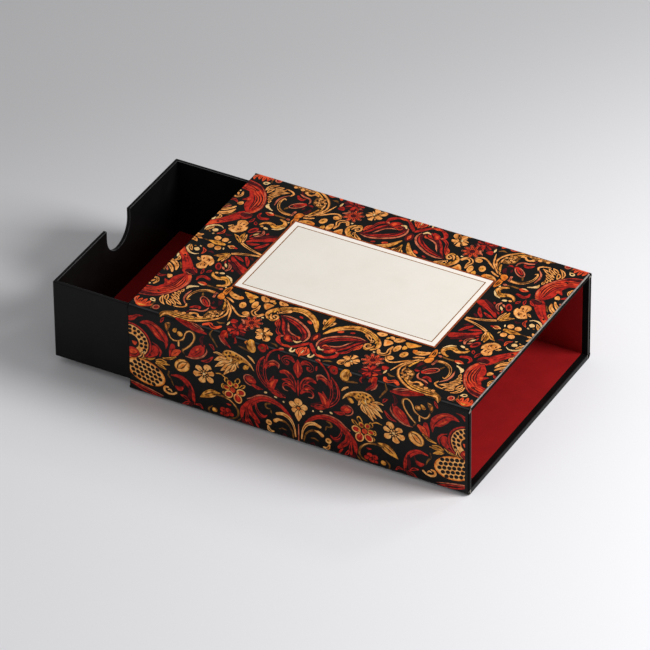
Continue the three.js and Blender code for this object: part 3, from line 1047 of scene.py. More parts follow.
patch(PEACH, [
    (-48.2, -27.6), (-45.5, -28.8), (-42.2, -29.8), (-40.5, -31.2), (-42.4, -32.3), (-45, -31.8),
    (-47, -30.2),
])
line(GOLD, [(-46.6, -29.6), (-44.2, -30.6), (-42.4, -31)], (0, 1.1, 0.6))
line(BROWN, [(-44.3, -30.6), (-43, -30.9)], (0, 0.6, 0))
stroke(ORANGE, [(-48.6, -25.6), (-49, -28.6), (-49, -31)], (1.2, 2.6, 2.2))
patch(ORANGE, [(-50.4, -31.2), (-48.6, -31.6), (-47.4, -34.6), (-49, -35.5), (-50.6, -34.4)])
line(BLACK, [(-48.8, -31.4), (-47.9, -32.6)], (0.2, 0.6, 0))
line(DEEP, [(-47.6, -35.8), (-46.7, -38), (-46.6, -40)], (0.5, 0.9, 0.3))
crescent = motif("crescent")

# %% The bud at the top's corner
# It is coral, with five blunt fingers and a gold foot.
for points, width in (
    ([(-80.4, -49.6), (-80.9, -51.4), (-79, -53.4)], 1.5),
    ([(-78.3, -50.4), (-78.7, -52.2), (-78, -53.8)], 1.5),
    ([(-76.3, -49.9), (-76.6, -51.9), (-76.6, -53.8)], 1.6),
    ([(-74.2, -50.6), (-74.6, -52.4), (-75.6, -54)], 1.6),
    ([(-72.4, -52.2), (-73.4, -53.4), (-75.4, -54.6)], 1.4),
):
    stroke(CORAL, points, (0.7, width, width, width), veins=(0.2,))
wash(CORAL, [(-79.6, -52.9), (-77, -52.6), (-74.4, -53.2), (-74.6, -54.9), (-76.6, -55.7), (-79, -54.9)])
line(GOLD, [(-78.4, -54.4), (-76.6, -54.6), (-75, -54.1)], (0.4, 1, 0.4))
line(PINK, [(-81.2, -50.4), (-81, -52.2), (-79.6, -54)], (0.3, 0.5, 0.3))
ring(CREAM, (-74, -48.9), 2.8, 2.2, -20, 0.6)
dot(CREAM, (-72.9, -49.6), 1.1, 0.8)
ring(PINK, (-70, -53.2), 3.2, 3.4, 0, 0.6, inside=DEEP)
dot(RED, (-69.8, -53.4), 1.5, 1.7)
line(BROWN, [(-71.9, -50.2), (-72.5, -51.6), (-71.6, -54.8)], (0.3, 0.5, 0.3))
corner_bud = motif("corner bud")

# %% The top's gold scroll and pebbles
stroke(GOLD, [
    (-61, -19.6), (-59.8, -21.6), (-57, -22.4), (-54.8, -21.2), (-52.7, -21.4), (-51.2, -24),
    (-52.2, -26.2), (-54.7, -27.2),
], (0.9, 1.5, 2, 2.6, 2.6, 2, 1.5, 0.9), veins=(-0.25,))
line(PEACH, [(-60.6, -20.6), (-59, -22), (-56.6, -22.9), (-55, -22.6)], (0.5, 0.8, 0.8, 0.3))
line(PEACH, [(-51.4, -22.6), (-51, -24.6), (-52.2, -26.3), (-54.3, -27)], (0.4, 0.9, 0.8, 0.4))
stroke(CREAM, [(-54.6, -19), (-52.2, -20), (-50.3, -22.6)], (0.5, 1, 0.5))
line(BROWN, [(-57.2, -21), (-55.6, -22.2)], (0, 0.8, 0))
oval(CREAM, (-57.3, -18.2), 2.4, 1.4, 15)
oval(PEACH, (-59.6, -18.9), 1.6, 1.2)
dot(CREAM, (-50.7, -26.7), 0.9, 1.1)
patch(GOLD, [(-41.8, -25.8), (-38, -25.9), (-34.8, -26.6), (-35.6, -28), (-37.6, -29.6), (-39.8, -28)])
line(ORANGE, [(-39.6, -27.1), (-37, -27.9)], (0.6, 1.4, 0.6))
patch(PEACH, [(-33.9, -25.4), (-31.8, -25), (-28.9, -26.6), (-30.2, -28.4), (-32.4, -28)])
line(BROWN, [(-32.2, -25.6), (-30.7, -27.4)], (0.3, 0.8, 0))
oval(PEACH, (-28.2, -26.4), 2.6, 1.9, 20)
oval(GOLD, (-26.5, -27.4), 1.3, 1.7, 20, rim=thin_rim_mm)
patch(PEACH, [(-25.2, -25), (-22, -25), (-20.6, -26.2), (-22.8, -27.6), (-24.4, -27)])
line(BROWN, [(-24, -25.8), (-22.6, -26.6)], (0, 0.7, 0))
patch(GOLD, [(-37, -29.6), (-35.4, -29), (-35, -30.4), (-35.8, -31.9), (-36.9, -31)])
oval(PEACH, (-33.4, -32.2), 2.7, 5.2, 8)
dot(GOLD, (-33.3, -32.4), 1.2, 3, 8)
patch(PEACH, [(-30.2, -29.6), (-28.4, -28.6), (-25.9, -29), (-26.6, -31), (-27.6, -33.1), (-29.4, -31.6)])
wash(ORANGE, [(-29.2, -29.8), (-27.4, -29.6), (-28, -31.6)])
oval(PEACH, (-38, -34.8), 3.1, 4.4, 18)
dot(GOLD, (-38, -34.8), 2, 3, 18)
dot(BROWN, (-38.2, -34.8), 0.8, 1.2, 18)
stroke(PEACH, [
    (-31.2, -32), (-31, -34.6), (-31.6, -37), (-30.2, -38.7), (-28.2, -38.7), (-27.1, -37),
], (0.8, 1.5, 2, 1.9, 1.6, 1.5))
dot(CREAM, (-26, -39), 1.2, 0.9)
wash(ORANGE, [(-40, -30), (-41.8, -29.4), (-42, -31), (-40.8, -31.8)])
gold_scroll = motif("gold scroll")

# %% The top's gold arch
# The long gold scroll that springs from the middle and rolls up at its end.
arch = [
    (-0.9, -37.2), (-4, -32), (-8, -28.7), (-13, -26.8), (-18, -27.8), (-22, -29.8), (-25, -33.2),
    (-25.4, -36), (-23.8, -38.4),
]
stroke(GOLD, arch, (0.8, 2.2, 2.6, 3, 3.2, 2.8, 1.8, 1.3, 0.6), veins=(0.35, -0.3), vein_ink=BLACK)
line(PEACH, [
    (-1.2, -36.6), (-4.4, -31.6), (-8.3, -28), (-13, -25.9), (-18, -26.9), (-22.4, -28.8),
], (0.3, 0.6, 0.7, 0.7, 0.6, 0))
line(PEACH, [(-2, -35.5), (-5.4, -32), (-9, -29.4), (-13, -28), (-17.2, -28.6)], (0.3, 0.5, 0.6, 0.6, 0))
line(PEACH, [(-23.6, -29.6), (-25.8, -33), (-26, -36), (-24.2, -38.4)], (0.3, 0.9, 0.8, 0.4))
stroke(PEACH, [(-17.8, -29.6), (-19.6, -30.9), (-21.2, -32.6)], (2, 1.8, 0.6))
fine_stroke(GOLD, [(-23.6, -31.4), (-23.6, -33.4)], (0.6, 1.1, 0.4))
fine_stroke(PEACH, [(-22, -31.8), (-21.6, -33.6)], (0.6, 1.2, 0.5))
stroke(PEACH, [
    (-24, -35), (-23.2, -37), (-21.4, -38.3), (-20.2, -37), (-20.6, -35.2), (-22, -34.8), (-22.6, -36),
    (-21.6, -36.4),
], (0.5, 0.9, 1, 1, 0.9, 0.8, 0.7, 0.6), rim=0.25)
fine_stroke(GOLD, [(-23.2, -38.6), (-21.6, -39), (-20.4, -38)], (0.3, 0.8, 0.4))
gold_arch = motif("gold arch")

# %% The top's red paisley
patch(DEEP, [
    (-19.9, -33.5), (-16, -33.2), (-12, -33.9), (-8, -35.8), (-4, -38.8), (-2, -42), (-1.9, -45),
    (-3.2, -47.6), (-8, -49), (-11.4, -47), (-13, -44.9), (-15.2, -42), (-17.6, -37.6),
])
wash(BLACK, [
    (-16.8, -35.8), (-13, -36.2), (-8.6, -38.4), (-5.4, -41.6), (-4.4, -44.8), (-7, -44), (-10.6, -43.2),
    (-13.4, -40.8), (-15.4, -38),
])
stroke(PINK, [
    (-18.9, -33.5), (-16, -33), (-12, -33.8), (-8, -35.8), (-4, -38.7), (-2, -41.8), (-1.8, -44.6),
    (-2.6, -47),
], (0.3, 0.9, 1, 1, 1, 0.9, 0.9, 0.3))
stroke(RED, [
    (-17.6, -34.2), (-13, -35.2), (-8.6, -37.2), (-5, -40), (-3.1, -43), (-2.9, -45),
], (0.3, 0.9, 0.8, 0.8, 0.8, 0), rim=hair_rim_mm)
line(RED, [(-15.6, -35.6), (-11.6, -37), (-8, -39.2), (-5.2, -42)], (0, 0.6, 0.6, 0))
stroke(RED, [
    (-18.4, -35.4), (-16.4, -38), (-15, -41), (-13.2, -43.6), (-11.6, -45.6),
], (0.3, 0.9, 1, 1, 0.3), rim=hair_rim_mm)
stroke(PINK, [
    (-15, -36.8), (-13.6, -38.8), (-12, -41.6), (-9.6, -43.4), (-6.2, -44.2),
], (0, 0.7, 0.7, 0.7, 0.3), rim=hair_rim_mm)
stroke(CORAL, [(-19.3, -36.8), (-18.5, -39.6), (-17.4, -41.5)], (0.6, 2.4, 1.2), veins=(-0.3,))
fine_stroke(RED, [
    (-18.4, -37.5), (-16.9, -41.5), (-16, -44.4), (-13.8, -46.3), (-12, -46.6),
], (0.4, 1, 1.1, 1.4, 0.8))
patch(RED, [(-11.3, -45.4), (-9.2, -45), (-8.4, -46.6), (-6, -48.6), (-8.4, -49.2), (-10.8, -48)])
wash(CORAL, [(-10.6, -46), (-9.4, -46), (-8.6, -47.8), (-9.8, -48)])
stroke(RED, [(-8.4, -45), (-6.8, -46), (-5.9, -47.6), (-6.8, -48.6)], (0.8, 1.5, 1.2, 0.5), veins=(0,))
fine_stroke(CORAL, [(-7, -44.4), (-5.4, -44.4), (-4.8, -45.6)], (0.6, 1, 0.4))
fine_stroke(CREAM, [(-6.4, -47.6), (-4.6, -48), (-3.4, -46.6)], (0.5, 1.1, 0.7))
stroke(RED, [
    (-13.3, -46.8), (-12.9, -49.4), (-10.8, -51.6), (-8, -52.5), (-5, -52), (-2.6, -49.6), (0.4, -46.2),
], (0.9, 2, 1.3, 1.2, 1.2, 1.8, 1.2), veins=(0,))
line(CORAL, [(-9.2, -52.3), (-7.4, -52.2), (-5.6, -52)], (0.4, 1.5, 0.4))
line(PINK, [(-12.4, -46.9), (-11.8, -46.6)], (1, 0.6))
oval(RED, (-11.6, -31.1), 2.3, 1.1, -25)
oval(CORAL, (-6.7, -32.7), 3, 1.5, -30)
red_paisley = motif("red paisley")

# %% The top's small flowers
flower(PINK, (-28.3, -44.4), 9, 4.1, 2.1, 20, None, DEEP)
flower(CORAL, (-28.3, -44.4), 9, 3.8, 1.3, 20, DEEP, RED)
fine_stroke(PINK, [(-33.4, -44), (-32, -44.8), (-31, -46.4), (-30.4, -47.6)], (0.3, 0.9, 0.9, 0.8))
for spot in (
    ((-22.4, -48.4), 3.3, 3.8, -15), ((-20.3, -46.3), 3.8, 3.1, -15), ((-17.9, -48.3), 3.4, 3, 20),
    ((-20.6, -51.7), 3.3, 3.9, 15), ((-17.2, -51.8), 3.4, 3.9, 25),
):
    oval(PEACH, *spot)
for points in (
    [(-20.6, -48.6), (-22, -46.4)], [(-19.9, -49.6), (-19.2, -51.9)],
    [(-18.6, -50), (-17.2, -52.4)], [(-20, -48.6), (-18.6, -48.6)],
):
    line(BROWN, points, (0.7, 0.5, 0))
petal_gaps((-20, -49.4), (5, 78, 118, 172, 232, 305), (1.2, 2.6, 3.9), (0.1, 0.5, 1))
oval(CREAM, (-20.7, -49.4), 1.1, rim=thin_rim_mm)
flower(DEEP, (-31.4, -51.8), 7, 4.5, 2.2, 75, None, BLACK)
flower(RED, (-31.2, -51.6), 7, 3.9, 1.1, 95, DEEP, None)
line(RED, [(-30.6, -48.4), (-31, -51)], (0.8, 1.2, 0.3))
line(RED, [(-30.9, -55), (-31.6, -52.4)], (0.9, 1.3, 0.3))
line(CORAL, [(-34.8, -53), (-33.4, -54)], (0.9, 1.5, 0.5))
line(PINK, [(-28.9, -49.8), (-27.4, -50.9)], (0.4, 0.8, 0.2))
patch(RED, [(-36.9, -46), (-35.4, -45.6), (-33.9, -46.2), (-34.6, -48), (-35.9, -48.6), (-36.8, -47.6)])
fine_stroke(CREAM, [(-36.9, -48.2), (-36.7, -50.6)], (0.5, 1, 0.5))
line(BROWN, [(-41.8, -50.6), (-40, -50.9), (-38.4, -49.8)], (0.4, 1.1, 0.4))
stroke(CORAL, [
    (-45.8, -54.9), (-43.6, -53.4), (-42, -54.6), (-40, -54.8), (-38.7, -53.1),
], (1.4, 1.9, 1.6, 1.9, 1.4))
fine_stroke(CREAM, [(-4.6, -52.6), (-4.2, -54.6), (-3, -54.8), (-2.5, -52.8)], (0.7, 0.9, 0.9, 0.7))
line(BROWN, [(-13.8, -53.5), (-11.4, -53.9), (-10.2, -54.9)], (0.4, 1, 0.5))
dot(PINK, (-8.1, -55.2), 2.2, 1.6, 25)
line(RED, [(-17.6, -56.8), (-15.4, -56.3), (-13.6, -57)], (0.6, 1.6, 0.5))
wash(ORANGE, [(-25, -57.4), (-23, -55.8), (-20.8, -56.8), (-21.6, -58.6)])
line(RED, [(-36.4, -57.4), (-34.6, -55.9), (-33.2, -57.6)], (0.8, 1.8, 0.8))
line(PEACH, [(-41.2, -39.6), (-42, -41.4)], (0.3, 0.6, 0.3))
small_flowers = motif("small flowers")

# %% The flowers between the label's short edge and the mouth
stroke(RED, [
    (-59.4, -5.6), (-56.4, -8.6), (-53, -10.8), (-49, -12.6),
], (1.2, 2.4, 3, 3.6), veins=(0.3, -0.3))
stroke(DEEP, [(-60, -8.4), (-57, -9.8), (-54, -12.4), (-50, -15)], (0.6, 1.6, 1.6, 1))
line(RED, [(-59.6, -8), (-58.6, -9.4)], (0.4, 1, 0.3))
stroke(RED, [(-53.9, -3), (-52, -5.4), (-50.4, -8.4)], (1.2, 1.8, 0.8), veins=(0,))
stroke(RED, [(-58.8, -4.2), (-56.4, -4.9), (-53.8, -6.2)], (0.5, 1.6, 0.6), veins=(0.3,))
line(DEEP, [(-53, -8.2), (-50.6, -10)], (0.3, 1, 0.3))
line(DEEP, [(-52.6, -2), (-50.4, -3.6)], (0.3, 1.4, 0.6))
stroke(PINK, [(-58.6, -10.4), (-57, -11.9), (-56.2, -14), (-56.9, -15.8)], (0.4, 1.1, 1.3, 1))
stroke(CREAM, [(-59.6, -11.2), (-58, -13.4)], (0.4, 1.1, 0.4))
stroke(PINK, [(-59.7, -13.9), (-58, -15.3)], (0.4, 1.1, 0.4))
line(RED, [(-60.4, -9.4), (-60, -11.6)], (0.3, 0.7, 0.2))
oval(RED, (-61.3, -14.4), 2.8, 5.4, 26)
dot(DEEP, (-61.3, -14.4), 1.6, 3.4, 26)
dot(RED, (-54.4, -14.6), 1.1, 1.7, 30)
line(DEEP, [(-71, -7.2), (-69.6, -6), (-67.4, -7.2)], (0, 1.1, 0))
stroke(PEACH, [(-49, 0.4), (-54, -0.7), (-57.5, -1.9), (-60.6, -3.4), (-62.6, -4.8)], (1, 1, 1.2, 1.4, 0.6))
stroke(GOLD, [(-61.8, -4), (-64.2, -6.2), (-67, -8.2)], (1.2, 2, 0.4))
stroke(GOLD, [(-61.6, -4.4), (-63.2, -7.4), (-63.5, -10.9)], (1.4, 2.2, 0.5), veins=(0,))
stroke(PEACH, [(-61.1, -4.4), (-61.4, -7), (-62.1, -10.3)], (0.8, 1.2, 0.5))
line(PEACH, [(-63, -5.4), (-65, -7.6), (-66.2, -8)], (0, 0.6, 0))
stroke(PEACH, [(-72.5, -12.6), (-71, -13.4), (-69.9, -12.4)], (0.7, 1.5, 0.7))
patch(PEACH, [
    (-71.6, -10.7), (-68.4, -9.2), (-65.6, -10.9), (-64.2, -13.4), (-64.7, -15.8), (-65.8, -15.2),
    (-65.8, -18.2), (-68.4, -19.5), (-70.5, -17.6), (-69.6, -14.6), (-70.8, -12.6),
])
for points, width in (
    ([(-70, -11), (-69.6, -13)], 0.7), ([(-68.2, -10.8), (-67.3, -12), (-68.4, -13)], 0.8),
    ([(-66.6, -11.6), (-66.8, -13.6)], 0.6),
    ([(-68.8, -14), (-67.6, -14.9), (-66.6, -14.2)], 0.6), ([(-69, -15.4), (-68.6, -17.8)], 0.5),
    ([(-67.4, -15.4), (-66.7, -17.4)], 0.8),
):
    line(DEEP, points, (0, width, 0))
line(CREAM, [(-70.6, -10.6), (-68.4, -9.9), (-66.2, -11)], (0, 0.6, 0))
line(CREAM, [(-65, -12.6), (-64.8, -14.6)], (0, 0.5, 0))
stroke(CREAM, [
    (-80.3, -5.6), (-80.2, -8.2), (-78, -10.4), (-75.2, -10.9), (-73.6, -9.8),
], (0.6, 1, 1.1, 0.7, 0.3))
stroke(PEACH, [(-79.6, -5.6), (-78.6, -7.6), (-77.6, -8.8)], (0.7, 1.4, 0.5))
patch(CREAM, [(-77.4, -7), (-76.2, -5.8), (-74.8, -6.8), (-75.2, -8.2), (-76.4, -8.2)])
line(CREAM, [(-75.9, -4.2), (-75, -4.9)], (0.4, 0.9, 0.3))
line(GOLD, [(-78.2, -5.3), (-77.4, -5.2)], (0.3, 0.7, 0.3))
stroke(CORAL, [(-74, -5.1), (-72.3, -6.8), (-72.4, -9.2)], (0.5, 1.4, 0.6))
stroke(RED, [(-66, -19), (-65.5, -20.8), (-65.2, -22.8)], (0.4, 1.5, 0.4))
fine_stroke(RED, [(-62.6, -18.9), (-63.6, -20.6)], (1.2, 1.6, 0.5))
oval(PEACH, (-72, -2.2), 3)
oval(PEACH, (-68.4, -2.4), 2.9, 3.1, 20)
line(CREAM, [(-66.2, -1), (-65.7, -2.4)], (0.3, 0.8, 0.3))
stroke(PEACH, [(-83, -0.6), (-80.6, -0.8), (-79.2, -1.8)], (2.6, 2.4, 0.9), veins=(0.1,))
end_flowers = motif("end flowers")

# %% The top's middle lines
# What lies on the line that halves the top from end to end. It is mirrored end for end.
stroke(BROWN, [(-77.6, 1), (-74, 1), (-70.5, 1)], (0.4, 1.1, 3.4))
line(GOLD, [(-74.4, 1), (-71, 1), (-67.4, 1)], (0.5, 2.8, 1.8))
line(BROWN, [(-72.6, 1), (-69.6, 1)], (0, 0.6, 0))
stroke(PEACH, [(-64.9, 1), (-63.6, 1), (-61.6, 1)], (1, 2.6, 0.9))
line(RED, [(-62.8, 1), (-60.4, 1)], (0.4, 1.2, 0.2))
line(CORAL, [(-64.4, 1.4), (-62.6, 1.2)], (0, 0.8, 0))
line(PEACH, [(-80.2, 1), (-77.8, 1)], (0.4, 1.2, 0.3))
middle_across = motif("middle across")

# What lies on the line that halves the top from side to side. It is mirrored front to back.
stroke(PEACH, [(-0.2, -31.6), (-1.6, -30), (-2.4, -28.4)], (1.2, 1.8, 1.2))
stroke(PEACH, [(0.2, -31.6), (1.6, -30), (2.4, -28.4)], (1.2, 1.8, 1.2))
stroke(GOLD, [(0, -25.6), (0, -29), (0, -34.6)], (2.4, 2.6, 0.6))
line(ORANGE, [(0, -26), (0, -30)], (0.5, 1.1, 0.3))
patch(DEEP, [(0, -37.8), (1.8, -40.4), (1.4, -43), (0, -44.6), (-1.4, -43), (-1.8, -40.4)])
line(CORAL, [(0, -39.4), (0, -43)], (0.4, 1.6, 0.4))
for side in (-1, 1):
    stroke(CORAL, [(side * 0.4, -55.4), (side * 2.1, -53), (side * 1.2, -50)], (0.8, 2, 0.8), veins=(0.2,))
stroke(CORAL, [(0, -56), (0, -53), (0, -49.4)], (0.8, 2.4, 0.8))
line(CREAM, [(0, -54.6), (0, -51.4)], (0, 0.6, 0))
middle_along = motif("middle along")

# %% [markdown]
# The side's motifs, drawn upright for its left half: x along the side and z over the table.

# %% The side's pomegranates
# Two lattice fruits that the mouth's edge cuts, with the leaves round them.
stroke(RED, [(-73.4, 20.8), (-71.6, 22.8), (-69, 25.6)], (2.4, 4.6, 4.4))
dot(RED, (-69.6, 24.6), 4.8, 5.4, -30)
line(DEEP, [(-72.6, 22), (-70.6, 24), (-69, 26.4)], (0, 0.5, 0))
stroke(RED, [(-70.2, 29.2), (-67.6, 27.9), (-66, 25.4), (-66.6, 22.8)], (0.3, 0.8, 1, 0.4))
oval(RED, (-80.8, 26.6), 20.4, 19)
dot(DEEP, (-80.8, 26.6), 19, 17.6)
dot(SIDE_PEACH_LIT, (-80.9, 26.6), 17.6, 16.6)
dot(BLACK, (-81, 26.3), 8.6, 7.6)
for reach_x, reach_z, first, last, steps in ((7.5, 7, -26, 124, 10), (5.4, 5, -14, 118, 6)):
    for k in range(steps):
        angle = radians(first + (last - first) * k / (steps - 1))
        at = (-80.8 + cos(angle) * reach_x, 26.6 + sin(angle) * reach_z)
        dot(BLACK, at, 2, 1.75, 50)
patch(CORAL, [(-80.2, 26.6), (-78.8, 26.9), (-77.6, 26.6), (-78.8, 24.7)])
for k in range(4):
    fine_stroke(CREAM, [
        (-75.4 - k * 1.1, 21.4 - k * 0.9), (-74 - k * 1.1, 22.9 - k * 0.9),
    ], (0.3, 0.8, 0.3))
oval(RED, (-79.9, 20.2), 6.8, 6.6, 20)
dot(CORAL, (-79.7, 21.2), 4, 2.6, 10)
line(BLACK, [(-81.4, 19.6), (-79, 19.9), (-77, 21.6)], (0.3, 0.6, 0))
line(PINK, [(-82.6, 18.2), (-80, 17.6), (-77.4, 18.8)], (0.3, 0.8, 0.2))
stroke(SIDE_PEACH_LIT, [(-77.6, 18.8), (-75.4, 19.8), (-75.1, 22.2)], (0.4, 1.9, 0.6))
oval(ORANGE, (-73.6, 12.4), 19.2, 12.2, -14)
dot(SIDE_PEACH_LIT, (-73.6, 12.4), 18, 11, -14)
tilt = radians(-14)
for row in range(-2, 3):
    for k in range(-4, 5):
        x = (k + (row % 2) * 0.5) * 2.4
        z = row * 2.1
        if (x / 8.6) ** 2 + (z / 5.2) ** 2 < 1:
            at = (-73.6 + x * cos(tilt) - z * sin(tilt), 12.4 + x * sin(tilt) + z * cos(tilt))
            dot(BLACK, at, 2.3, 1.9, -35)
for points, width in (
    ([(-74.6, 19.3), (-71, 19.9), (-68.8, 21.3)], 0.9),
    ([(-68.6, 20.2), (-66, 21), (-63.2, 20.9)], 1.6),
    ([(-68.4, 19.6), (-65, 19.8), (-61.9, 19.8)], 1.5),
    ([(-68.8, 18.8), (-65.6, 17.8), (-63.6, 16.9)], 1.8),
):
    stroke(GOLD, points, (0.4, width, width * 0.8, 0.3), veins=(0,))
patch(RED, [
    (-76, 37.4), (-74, 39.2), (-70.4, 39.9), (-66.4, 38.2), (-63, 35), (-62.3, 31.2), (-63.4, 27.8),
    (-64.3, 31), (-67.4, 32), (-70.4, 34.8), (-72.6, 37.2),
])
line(DEEP, [(-73.6, 38.3), (-70, 38), (-66.6, 35.2), (-64, 31.6), (-63.4, 29)], (0.2, 0.5, 0.6, 0.5, 0))
line(CORAL, [(-70.6, 38.9), (-67, 37.4), (-64.4, 34.6)], (0, 0.9, 0))
line(CORAL, [(-70.4, 36.2), (-68.2, 34), (-66, 32.6)], (0, 0.9, 0))
stroke(RED, [(-84, 37), (-79.4, 39), (-77.2, 40.8), (-74.6, 41.4)], (1.2, 2.4, 1.4, 0.3), veins=(0.1,))
stroke(RED, [(-81, 4.6), (-77, 3.6), (-72, 2.4), (-66, 1.6)], (0.3, 2, 1.8, 0.3))
line(PINK, [(-82, 5.6), (-76.6, 4.9), (-70, 3.6), (-65, 2.4)], (0.3, 0.6, 0.5, 0.2))
pomegranates = motif("pomegranates")

# %% The side's tendril and buds
fine_stroke(BROWN, [
    (-62.2, 37.6), (-61.6, 35.4), (-59.6, 33.6), (-57, 34.2), (-54.8, 35.6), (-54, 38), (-52.6, 40.4),
    (-50.2, 40.9), (-49.1, 38.6), (-50.4, 35), (-52.8, 32), (-55.2, 29.8), (-54.4, 28.2),
], (0.8, 0.9, 0.9, 0.9, 0.9, 0.9, 1, 1, 1.1, 1.1, 1.1, 1.1, 0.6))
line(SIDE_PEACH_LIT, [
    (-62, 36.6), (-60.8, 34.4), (-59, 33.7), (-56.4, 34.6), (-54.5, 36.4), (-53.6, 39.2), (-51.6, 40.9),
    (-49.7, 40), (-49.6, 37), (-51.2, 34), (-53.4, 31.4), (-55, 29.9),
], (0.3, 0.45, 0.45, 0.45, 0.45, 0.5, 0.5, 0.5, 0.6, 0.6, 0.6, 0.3))
fine_stroke(SIDE_PEACH_LIT, [(-57.1, 34.2), (-57.1, 31.5)], (0.6, 0.8, 0.7))
patch(BROWN, [(-63.9, 40.6), (-62.8, 42), (-60.9, 42.3), (-61.2, 40.4), (-62.6, 37.4), (-63.4, 38.6)])
line(ORANGE, [(-63.2, 40.8), (-62.6, 38.8)], (0.4, 1, 0.3))
line(SIDE_PEACH_LIT, [(-62.6, 41.7), (-61.2, 42)], (0.3, 0.5, 0.2))
patch(GOLD, [(-60.2, 38.6), (-58.9, 40.2), (-57.7, 40.2), (-58.6, 37.9)])
oval(GOLD, (-56.4, 38), 2.8, 2.5)
dot(SIDE_PEACH_LIT, (-56.5, 38.2), 1.5, 1.2)
stroke(RED, [(-52.4, 27.6), (-49.4, 30), (-46.6, 33), (-45, 35.4)], (0.6, 4.4, 5, 1.8), veins=(-0.35, 0.1))
line(CORAL, [(-48.8, 31.6), (-47, 33.8)], (0, 1, 0))
fine_stroke(PINK, [
    (-53.8, 27.2), (-49.6, 27.4), (-45.6, 29.6), (-43.4, 32.6), (-43.6, 34.6),
], (0.4, 0.7, 0.8, 0.8, 0.2))
stroke(DEEP, [(-45.3, 35.6), (-46, 38.4), (-44.6, 40.8)], (0.7, 1.8, 0.5), veins=(0,))
stroke(RED, [(-65.6, 41.2), (-64.9, 42.6), (-64.2, 43.8)], (0.8, 1.3, 0.5))
stroke(RED, [(-46, 27.3), (-43, 28.3), (-40.6, 31)], (0.5, 1.5, 0.7))
stroke(RED, [
    (-58.6, 45.2), (-54, 44.4), (-49, 43.4), (-43.4, 42.2),
], (0.6, 2.2, 3.2, 0.6), veins=(0.3, -0.2))
fine_stroke(PINK, [(-51.6, 45.4), (-48, 44.6), (-44.6, 43.6)], (0.4, 1.2, 0.3))
stroke(RED, [(-60, 30.6), (-60.3, 28.2), (-61.6, 24.6)], (2.2, 3, 0.5), veins=(0,))
stroke(CORAL, [(-56.8, 28.8), (-58.3, 27.8), (-60.8, 25)], (1.6, 3, 0.6), veins=(0.1,))
stroke(GOLD, [(-65, 22.5), (-61.6, 23.3), (-58.6, 25.2)], (0.5, 1.3, 0.5), veins=(0,))
tendril = motif("tendril")

# %% The side's blossom and red stem
oval(GOLD, (-55.6, 21.7), 8, 6.2, 36)
dot(SIDE_PEACH_LIT, (-55.6, 21.7), 7, 5.3, 36)
line(BROWN, [(-58, 19.7), (-57.6, 21.6), (-55.4, 23.7), (-53.2, 23.9)], (0.5, 0.8, 0.8, 0.5))
line(BROWN, [(-57.6, 19.6), (-55.6, 20.4), (-53.4, 23.4)], (0.3, 0.7, 0.3))
line(ORANGE, [(-56.6, 21), (-54.4, 22.9)], (0.3, 1, 0.3))
for spot in (
    ((-43.2, 24.5), 3.9, 3.4, 20), ((-41.6, 22.1), 3.3, 2.8, 0), ((-42, 18.7), 3.6, 3, -30),
    ((-45.9, 17.7), 3.8, 3.2, 10),
    ((-48.2, 20.1), 4.1, 3.3, 10), ((-47.4, 23.1), 3.5, 2.9, -20), ((-44.8, 21), 3.4, 3.4, 0),
):
    oval(SIDE_PEACH_LIT, *spot)
for points in (
    [(-44.8, 21.4), (-43.3, 24.6)], [(-44.2, 20.8), (-41.8, 22)], [(-44.2, 20.2), (-42, 18.9)],
    [(-45, 19.9), (-45.8, 17.6)], [(-45.8, 20.8), (-48.4, 20.2)], [(-45.6, 21.8), (-47.6, 23.2)],
):
    line(UMBER, points, (0.9, 0.45, 0))
petal_gaps((-44.9, 20.9), (42, -8, -72, -137, 166, 102), (1.5, 2.7, 4), (0.1, 0.6, 1.3))
dot(CREAM, (-44.9, 20.9), 1.5, 1.3)
stroke(RED, [
    (-61, 14.9), (-57, 15.4), (-53.6, 13.6), (-51.4, 10.6), (-50.4, 7), (-50.2, 3.4),
], (0.6, 1.9, 2.6, 2.2, 1.8, 0.8), veins=(0.1,))
stroke(DEEP, [(-52, 11.6), (-52.3, 7.6), (-52.6, 3.4)], (0.8, 1.6, 0.8))
stroke(RED, [(-56.6, 6), (-54.6, 5.6), (-52.6, 4.2)], (0.6, 1.6, 0.6))
stroke(RED, [(-56, 1.4), (-54, 2.6), (-51.6, 3.6)], (0.4, 1.6, 0.8))
stroke(DEEP, [(-52.6, 0.8), (-51.8, 2.4), (-50.6, 4)], (0.4, 1.4, 0.8))
stroke(RED, [(-49.2, 3.5), (-47.2, 3.8), (-46, 2.4)], (0.6, 1.2, 0.6))
patch(RED, [(-59.4, 9.9), (-57.4, 10), (-55.2, 10.6), (-55.8, 8.6), (-57.6, 7.9), (-59, 8.8)])
line(DEEP, [(-55.4, 10.4), (-54.7, 12), (-54.8, 13)], (0.7, 0.6, 0.2))
fine_stroke(BROWN, [(-62.2, 16.4), (-62.6, 14.4), (-61.2, 12.4), (-60.2, 9.8)], (0.7, 0.8, 0.8, 0.3))
fine_stroke(SIDE_PEACH_LIT, [
    (-62.8, 8), (-64.4, 7.6), (-64.6, 5.9), (-62.8, 4.8), (-60.6, 5), (-58.9, 6.2),
], (0.8, 1.1, 1.1, 1, 0.9, 1))
line(SIDE_PEACH_LIT, [(-62.8, 6.8), (-61.6, 7), (-61, 6.1)], (0.6, 0.8, 0.4))
stroke(GOLD, [
    (-46.9, 8.3), (-44, 10.4), (-41, 12.2), (-37.4, 13.2),
], (0.5, 3.4, 3.6, 0.6), veins=(0.1,), vein_mm=0.5)
line(SIDE_PEACH_LIT, [(-45.6, 9.9), (-43.2, 11.8), (-40.4, 13.2)], (0, 0.6, 0))
line(SIDE_PEACH_LIT, [(-43.6, 9.1), (-40.8, 10.4), (-38.6, 12)], (0, 0.6, 0))
